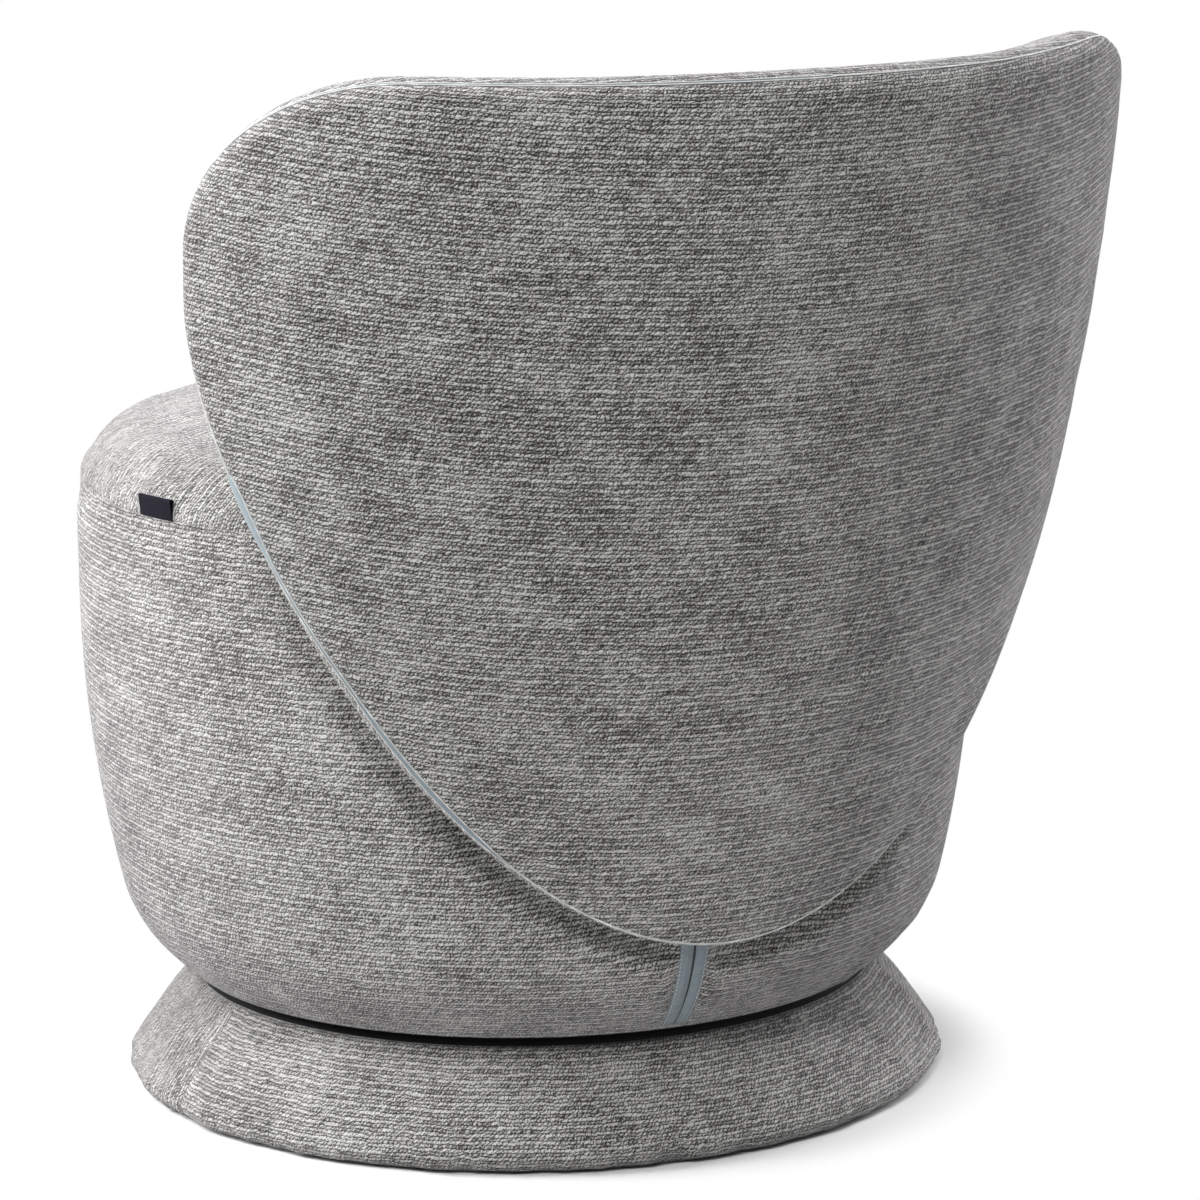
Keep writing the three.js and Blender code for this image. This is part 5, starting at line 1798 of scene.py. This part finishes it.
    def make_seam(self, finishes: Finishes) -> None:
        """Builds the tape in the open seam and its two pale edge cords."""
        places, out, edge = self.seam_path(0, 0, self.tape_depth)
        half = self.open_width(edge)[:, None] / 2 + self.tape_overlap
        across = half * np.linspace(-1, 1, 7)
        fall = -(across**2) / (2 * self.bead_radius(edge)[:, None])
        under = np.stack([across, fall - self.tape_thickness], -1)
        section = np.concatenate([under, np.stack([across, fall], -1)[:, ::-1]], 1)
        tape = swept("panel_zip_tape", places, out, section)
        dress(tape, finishes.tape)
        set_in_frame(tape, Body.SEAT, Slot.ZIP_TAPE, "back_zip_tape")
        for name, side in (("outer", -1), ("inner", 1)):
            places, out, _ = self.seam_path(side, -self.cord_overlap, -self.cord_lift)
            cord = swept(f"panel_zip_edge_{name}", places, out, round_section(self.cord_radius))
            dress(cord, finishes.cord)
            set_in_frame(cord, Body.SEAT, Slot.ZIP_TAPE)

    def make(self, finishes: Finishes) -> None:
        """Builds the whole back."""
        self.make_pads(finishes)
        self.make_seam(finishes)


# Short zip and tag


@dataclass(frozen=True)
class RearZip:
    """The short zip at the drum's lower edge."""

    drum: Drum
    angle: float = math.radians(4.5)
    low: float = 90 * MM
    tape_width: float = 9.5 * MM
    tape_thickness: float = 1.0 * MM
    slit: float = 1.7 * MM
    proud: float = 0.5 * MM
    tuck_in: float = 8 * MM
    press_height: float = 40 * MM
    press_reach: float = 9 * MM
    stitch_inset: float = 1.2 * MM
    stitch_lift: float = 0.1 * MM
    strip_overlap: float = 0.6 * MM
    strip_depth: float = 0.8 * MM
    strip_top: float = 0.12 * MM
    mark_aside: float = 2.0 * MM
    MARK_START = 20
    STITCH = Bead(pitch=3.2 * MM, length=2.4 * MM, width=0.7 * MM, height=0.6 * MM)
    MARK = Bead(pitch=2.0 * MM, length=0.5 * MM, width=1.5 * MM, height=0.35 * MM)

    def presses(self, places: np.ndarray) -> np.ndarray:
        """How firmly the tapes hold each place of the drum's cloth."""
        aside = np.abs(bearing(places) - self.angle) * self.drum.tuck_radius
        off = aside - self.tape_width - self.slit / 2
        low = places[:, 2] < self.drum.tuck_height + self.press_height
        return (1 - smooth(off / self.press_reach)) * low

    def path(self, side: float, lift: float) -> tuple[np.ndarray, np.ndarray]:
        """The run up the lower edge, beside the middle by a distance, and the way out from it."""
        r, z, radius, _ = self.drum.tuck_arc()
        start = math.asin((self.low - z) / radius)
        turn = np.linspace(start, self.tuck_in / radius - math.radians(self.drum.tuck_angle), 41)
        around = self.angle + side / self.drum.tuck_radius
        places = polar(r + (radius + lift) * np.cos(turn), around, z + (radius + lift) * np.sin(turn))
        level = np.cos(turn)
        out = np.stack([level * math.sin(around), level * math.cos(around), np.sin(turn)], -1)
        return places, out

    def make_tape(self, finishes: Finishes, name: str, side: int) -> None:
        """Builds one tape and the stitches along its outer edge."""
        offset = (self.tape_width + self.slit) / 2
        half = self.tape_width / 2
        places, out = self.path(side * offset, self.proud)
        section = flat_section(half, -self.tape_thickness, 0)
        tape = swept(f"rear_zip_tape_{name}_woven", places, out, section)
        dress(tape, finishes.tape)
        set_in_frame(tape, Body.SEAT, Slot.ZIP_TAPE, f"rear_zip_tape_{name}")
        beside = side * (offset + half - self.stitch_inset)
        places, out = self.path(beside, self.proud + self.stitch_lift)
        row = self.STITCH.along(f"rear_zip_stitches_{name}", places, out, finishes.cord)
        set_in_frame(row, Body.SEAT, Slot.ZIP_TAPE)

    def make_slit(self, finishes: Finishes) -> None:
        """Builds the black strip behind the slit as painted shade in the gap, the teeth in it and their marks on
        the tape.
        """
        # The black strip is a dark sheet for painted shade: it makes the gap between the tapes read as a dark
        # slit.
        places, out = self.path(0, self.proud)
        half = self.slit / 2 + self.strip_overlap
        section = flat_section(half, -self.strip_depth, -self.strip_top)
        strip = swept("rear_zip_slit_shade_strip", places, out, section)
        dress(strip, finishes.by_slot[Slot.LINING])
        set_in_frame(strip, Body.SEAT, Slot.ZIP_TEETH)
        coil = Bead(pitch=1.5 * MM, length=0.8 * MM, width=self.slit, height=0.4 * MM, lift=-0.2 * MM)
        teeth = coil.along("rear_zip_coil", places, out, finishes.teeth)
        set_in_frame(teeth, Body.SEAT, Slot.ZIP_TEETH, "rear_zip_teeth")
        places, out = (run[self.MARK_START :] for run in self.path(self.mark_aside, self.proud))
        row = self.MARK.along("rear_zip_tooth_marks", places, out, finishes.stitch)
        set_in_frame(row, Body.SEAT, Slot.ZIP_TAPE)

    def make(self, finishes: Finishes) -> None:
        """Builds both tapes and what lies between them."""
        for name, side in (("left", 1), ("right", -1)):
            self.make_tape(finishes, name, side)
        self.make_slit(finishes)


@dataclass(frozen=True)
class Tag:
    """The bare woven tag: a folded ribbon that stands up from the drum's top seam, both ends sewn in."""

    drum: Drum
    angle: float = math.radians(78.3)
    width: float = 38 * MM
    height: float = 14.5 * MM
    thickness: float = 0.5 * MM
    clear: float = -0.8 * MM
    depth: float = 2.8 * MM
    foot: float = 0.6 * MM
    press_reach: float = 16 * MM
    steps: int = 20

    def presses(self, places: np.ndarray) -> np.ndarray:
        """How firmly the tag holds each place of the drum's cloth."""
        aside = np.abs(bearing(places) - self.angle) * self.drum.side_radius - self.width / 2
        above = np.abs(places[:, 2] - self.drum.seam_height) - self.height
        return 1 - smooth(np.maximum(aside, above) / self.press_reach)

    def loop(self) -> np.ndarray:
        """The ribbon's middle line, out from the seam and up: up in front, over the fold and down."""
        fold = self.depth / 2
        front = straight((self.foot, 0), (self.clear + self.depth, self.height - fold), self.steps)
        over = arc((self.clear + fold, self.height - fold), fold, 0, 180, self.steps)
        back = straight((self.clear, self.height - fold), (0, 0), self.steps)
        return joined(front, over, back)

    def make(self, finishes: Finishes) -> None:
        """Builds and dresses the tag."""
        loop = self.loop()
        place = np.linspace(-0.5, 0.5, 2 * self.steps + 1) * self.width
        around = self.angle + place / self.drum.side_radius
        height = self.drum.seam_height + loop[:, 1:]
        rows = polar(self.drum.side_radius + loop[:, :1], around[None], height)
        flat = np.stack(np.broadcast_arrays(place[None], lengths(loop)[:, None]), -1)
        tag = ribbon("tag_ribbon", rows, flat, self.thickness)
        dress(tag, finishes.tag)
        set_in_frame(tag, Body.SEAT, Slot.LABEL, "label_tag")


# Frame, room and camera


def dress_frame(finishes: Finishes) -> None:
    """Gives the CAD nodes that keep their shape a fuller material, by their material slots."""
    slots = {part["node"]: part["material_slot"] for part in frame["record"]["subparts"]}
    for name, node in frame["nodes"].items():
        material = finishes.by_slot.get(Slot(slots[name]))
        if material is not None:
            dress(node, material)
    LOG.info("frame: %d nodes", len(frame["nodes"]))


@dataclass(frozen=True)
class Lamp:
    """A soft square lamp that faces the chair.

    Its side is its angle from the camera in degrees, positive to the image's right, its height is
    in degrees above the seat, its size is the length of its sides and its power is in watts.
    """

    name: str
    side: float
    height: float
    size: float
    power: float


@dataclass(frozen=True)
class Room:
    """Pale floor, white surroundings, soft lamps and the camera."""

    azimuth: float = 153.0
    distance: float = 3.5411
    aside: float = 0.05216
    eye: float = 1.0441
    pitch: float = 11.264
    roll: float = 0.851
    lens: float = 150.0
    sensor: float = 36.0
    ambient: float = 0.07
    tint: Colour = (1.0, 0.99, 1.0)
    floor_size: float = 14.0
    floor_shown: Colour = (0.93, 0.93, 0.93)
    floor_dark: Colour = (0.62, 0.62, 0.62)
    floor_light: Colour = (0.66, 0.66, 0.66)
    shadow_radius: float = 0.296
    white_radius: float = 0.355
    lamp_distance: float = 2.6
    lamp_target: float = 0.35
    LAMPS = (
        Lamp("key", -91, 28, 1.6, 109),
        Lamp("crown", -125, 50, 1.5, 24),
        Lamp("overhead", -8, 46, 0.8, 35),
        Lamp("right", 95, 66, 1.4, 20),
        Lamp("rim", 126, 12, 1.4, 48),
    )

    def directions(self) -> tuple[Vector, Vector]:
        """From the chair to the camera, level, and the image's right."""
        a = math.radians(self.azimuth)
        return Vector((math.sin(a), -math.cos(a), 0)), Vector((math.cos(a), math.sin(a), 0))

    def make_camera(self) -> None:
        """Sets the camera where the photograph was taken."""
        back, right = self.directions()
        tilt = math.radians(self.pitch)
        forward = -back * math.cos(tilt) - Vector((0, 0, math.sin(tilt)))
        camera = bpy.data.cameras.new("camera")
        camera.lens = self.lens
        camera.sensor_width = self.sensor
        eye = bpy.data.objects.new("camera", camera)
        spot = Vector((0, AXIS_Y, 0)) + back * self.distance + right * self.aside
        level = forward.to_track_quat("-Z", "Y").to_matrix()
        turn = Matrix.Rotation(math.radians(self.roll), 3, forward) @ level
        eye.matrix_world = Matrix.Translation((spot.x, spot.y, self.eye)) @ turn.to_4x4()
        bpy.context.scene.collection.objects.link(eye)
        bpy.context.scene.camera = eye

    def make_lamp(self, lamp: Lamp) -> None:
        """Adds a lamp."""
        back, right = self.directions()
        turn, up = math.radians(lamp.side), math.radians(lamp.height)
        level = back * math.cos(turn) + right * math.sin(turn)
        way = level * math.cos(up) + Vector((0, 0, math.sin(up)))
        light = bpy.data.lights.new(lamp.name, "AREA")
        light.shape = "SQUARE"
        light.size = lamp.size
        light.energy = lamp.power
        made = bpy.data.objects.new(lamp.name, light)
        made.location = Vector((0, AXIS_Y, self.lamp_target)) + way * self.lamp_distance
        made.rotation_euler = (-way).to_track_quat("-Z", "Y").to_euler()
        bpy.context.scene.collection.objects.link(made)

    def make_world(self) -> None:
        """Lights the room evenly and shows it white."""
        world = bpy.data.worlds.new("room")
        bpy.context.scene.world = world
        world.use_nodes = True
        nodes = Nodes(world.node_tree)
        nodes.tree.nodes.clear()
        rays = nodes.node("ShaderNodeLightPath").outputs
        either = {"operation": "MAXIMUM"}
        inputs = {0: rays["Is Glossy Ray"], 1: rays["Is Transmission Ray"]}
        bounced = nodes.output("ShaderNodeMath", either, inputs)
        seen = nodes.output("ShaderNodeMath", either, {0: rays["Is Camera Ray"], 1: bounced})
        inputs = {"Color": self.tint, "Strength": self.ambient}
        dim = nodes.output("ShaderNodeBackground", {}, inputs)
        white = nodes.output("ShaderNodeBackground", {}, {"Color": (1.0, 1.0, 1.0)})
        shown = nodes.output("ShaderNodeMixShader", {}, {0: seen, 1: dim, 2: white})
        nodes.node("ShaderNodeOutputWorld", {}, {0: shown})

    def make_floor(self) -> None:
        """Lays a pale floor that fades to white away from the chair and keeps its shadow."""
        half = self.floor_size / 2
        corners = [(-half, -half, 0), (half, -half, 0), (half, half, 0), (-half, half, 0)]
        floor = mesh_object("floor", np.array(corners), [(0, 1, 2, 3)])
        shader = Shader("floor_white")
        where, x, y, _ = shader.on_object()
        aside = y - AXIS_Y
        radius = (x * x + aside * aside) ** 0.5
        away = radius.rising(self.shadow_radius, self.white_radius)
        seen = Signal(shader, shader.node("ShaderNodeLightPath").outputs["Is Camera Ray"])
        bounced = shader.mix(shader.noise(where, 0.2, 3.0), self.floor_dark, self.floor_light)
        inputs = {
            "Base Color": shader.mix(seen, bounced, self.floor_shown),
            "Roughness": 0.8,
            "Specular IOR Level": 0.1,
        }
        paint = shader.output("ShaderNodeBsdfPrincipled", {}, inputs)
        inputs = {"Color": (1.0, 1.0, 1.0), "Strength": 1.0}
        glow = shader.output("ShaderNodeEmission", {}, inputs)
        mixed = shader.output("ShaderNodeMixShader", {}, {0: seen * away, 1: paint, 2: glow})
        shader.node("ShaderNodeOutputMaterial", {}, {"Surface": mixed})
        dress(floor, shader.material)

    def make(self) -> None:
        """Makes the room, its lamps and the camera."""
        bpy.context.scene.view_settings.view_transform = "Standard"
        self.make_camera()
        self.make_world()
        self.make_floor()
        for lamp in self.LAMPS:
            self.make_lamp(lamp)


def main() -> None:
    """Builds the chair piece by piece."""
    logging.basicConfig(level=logging.INFO, format="%(name)s: %(message)s")
    finishes = Finishes()
    Room().make()
    dress_frame(finishes)
    drum = Drum()
    back = Leaf(drum)
    rear_zip = RearZip(drum)
    Plinth().make(finishes)
    tag = Tag(drum)
    drum.make(finishes, [back.presses, rear_zip.presses, tag.presses])
    back.make(finishes)
    rear_zip.make(finishes)
    tag.make(finishes)


if __name__ == "__main__":
    main()
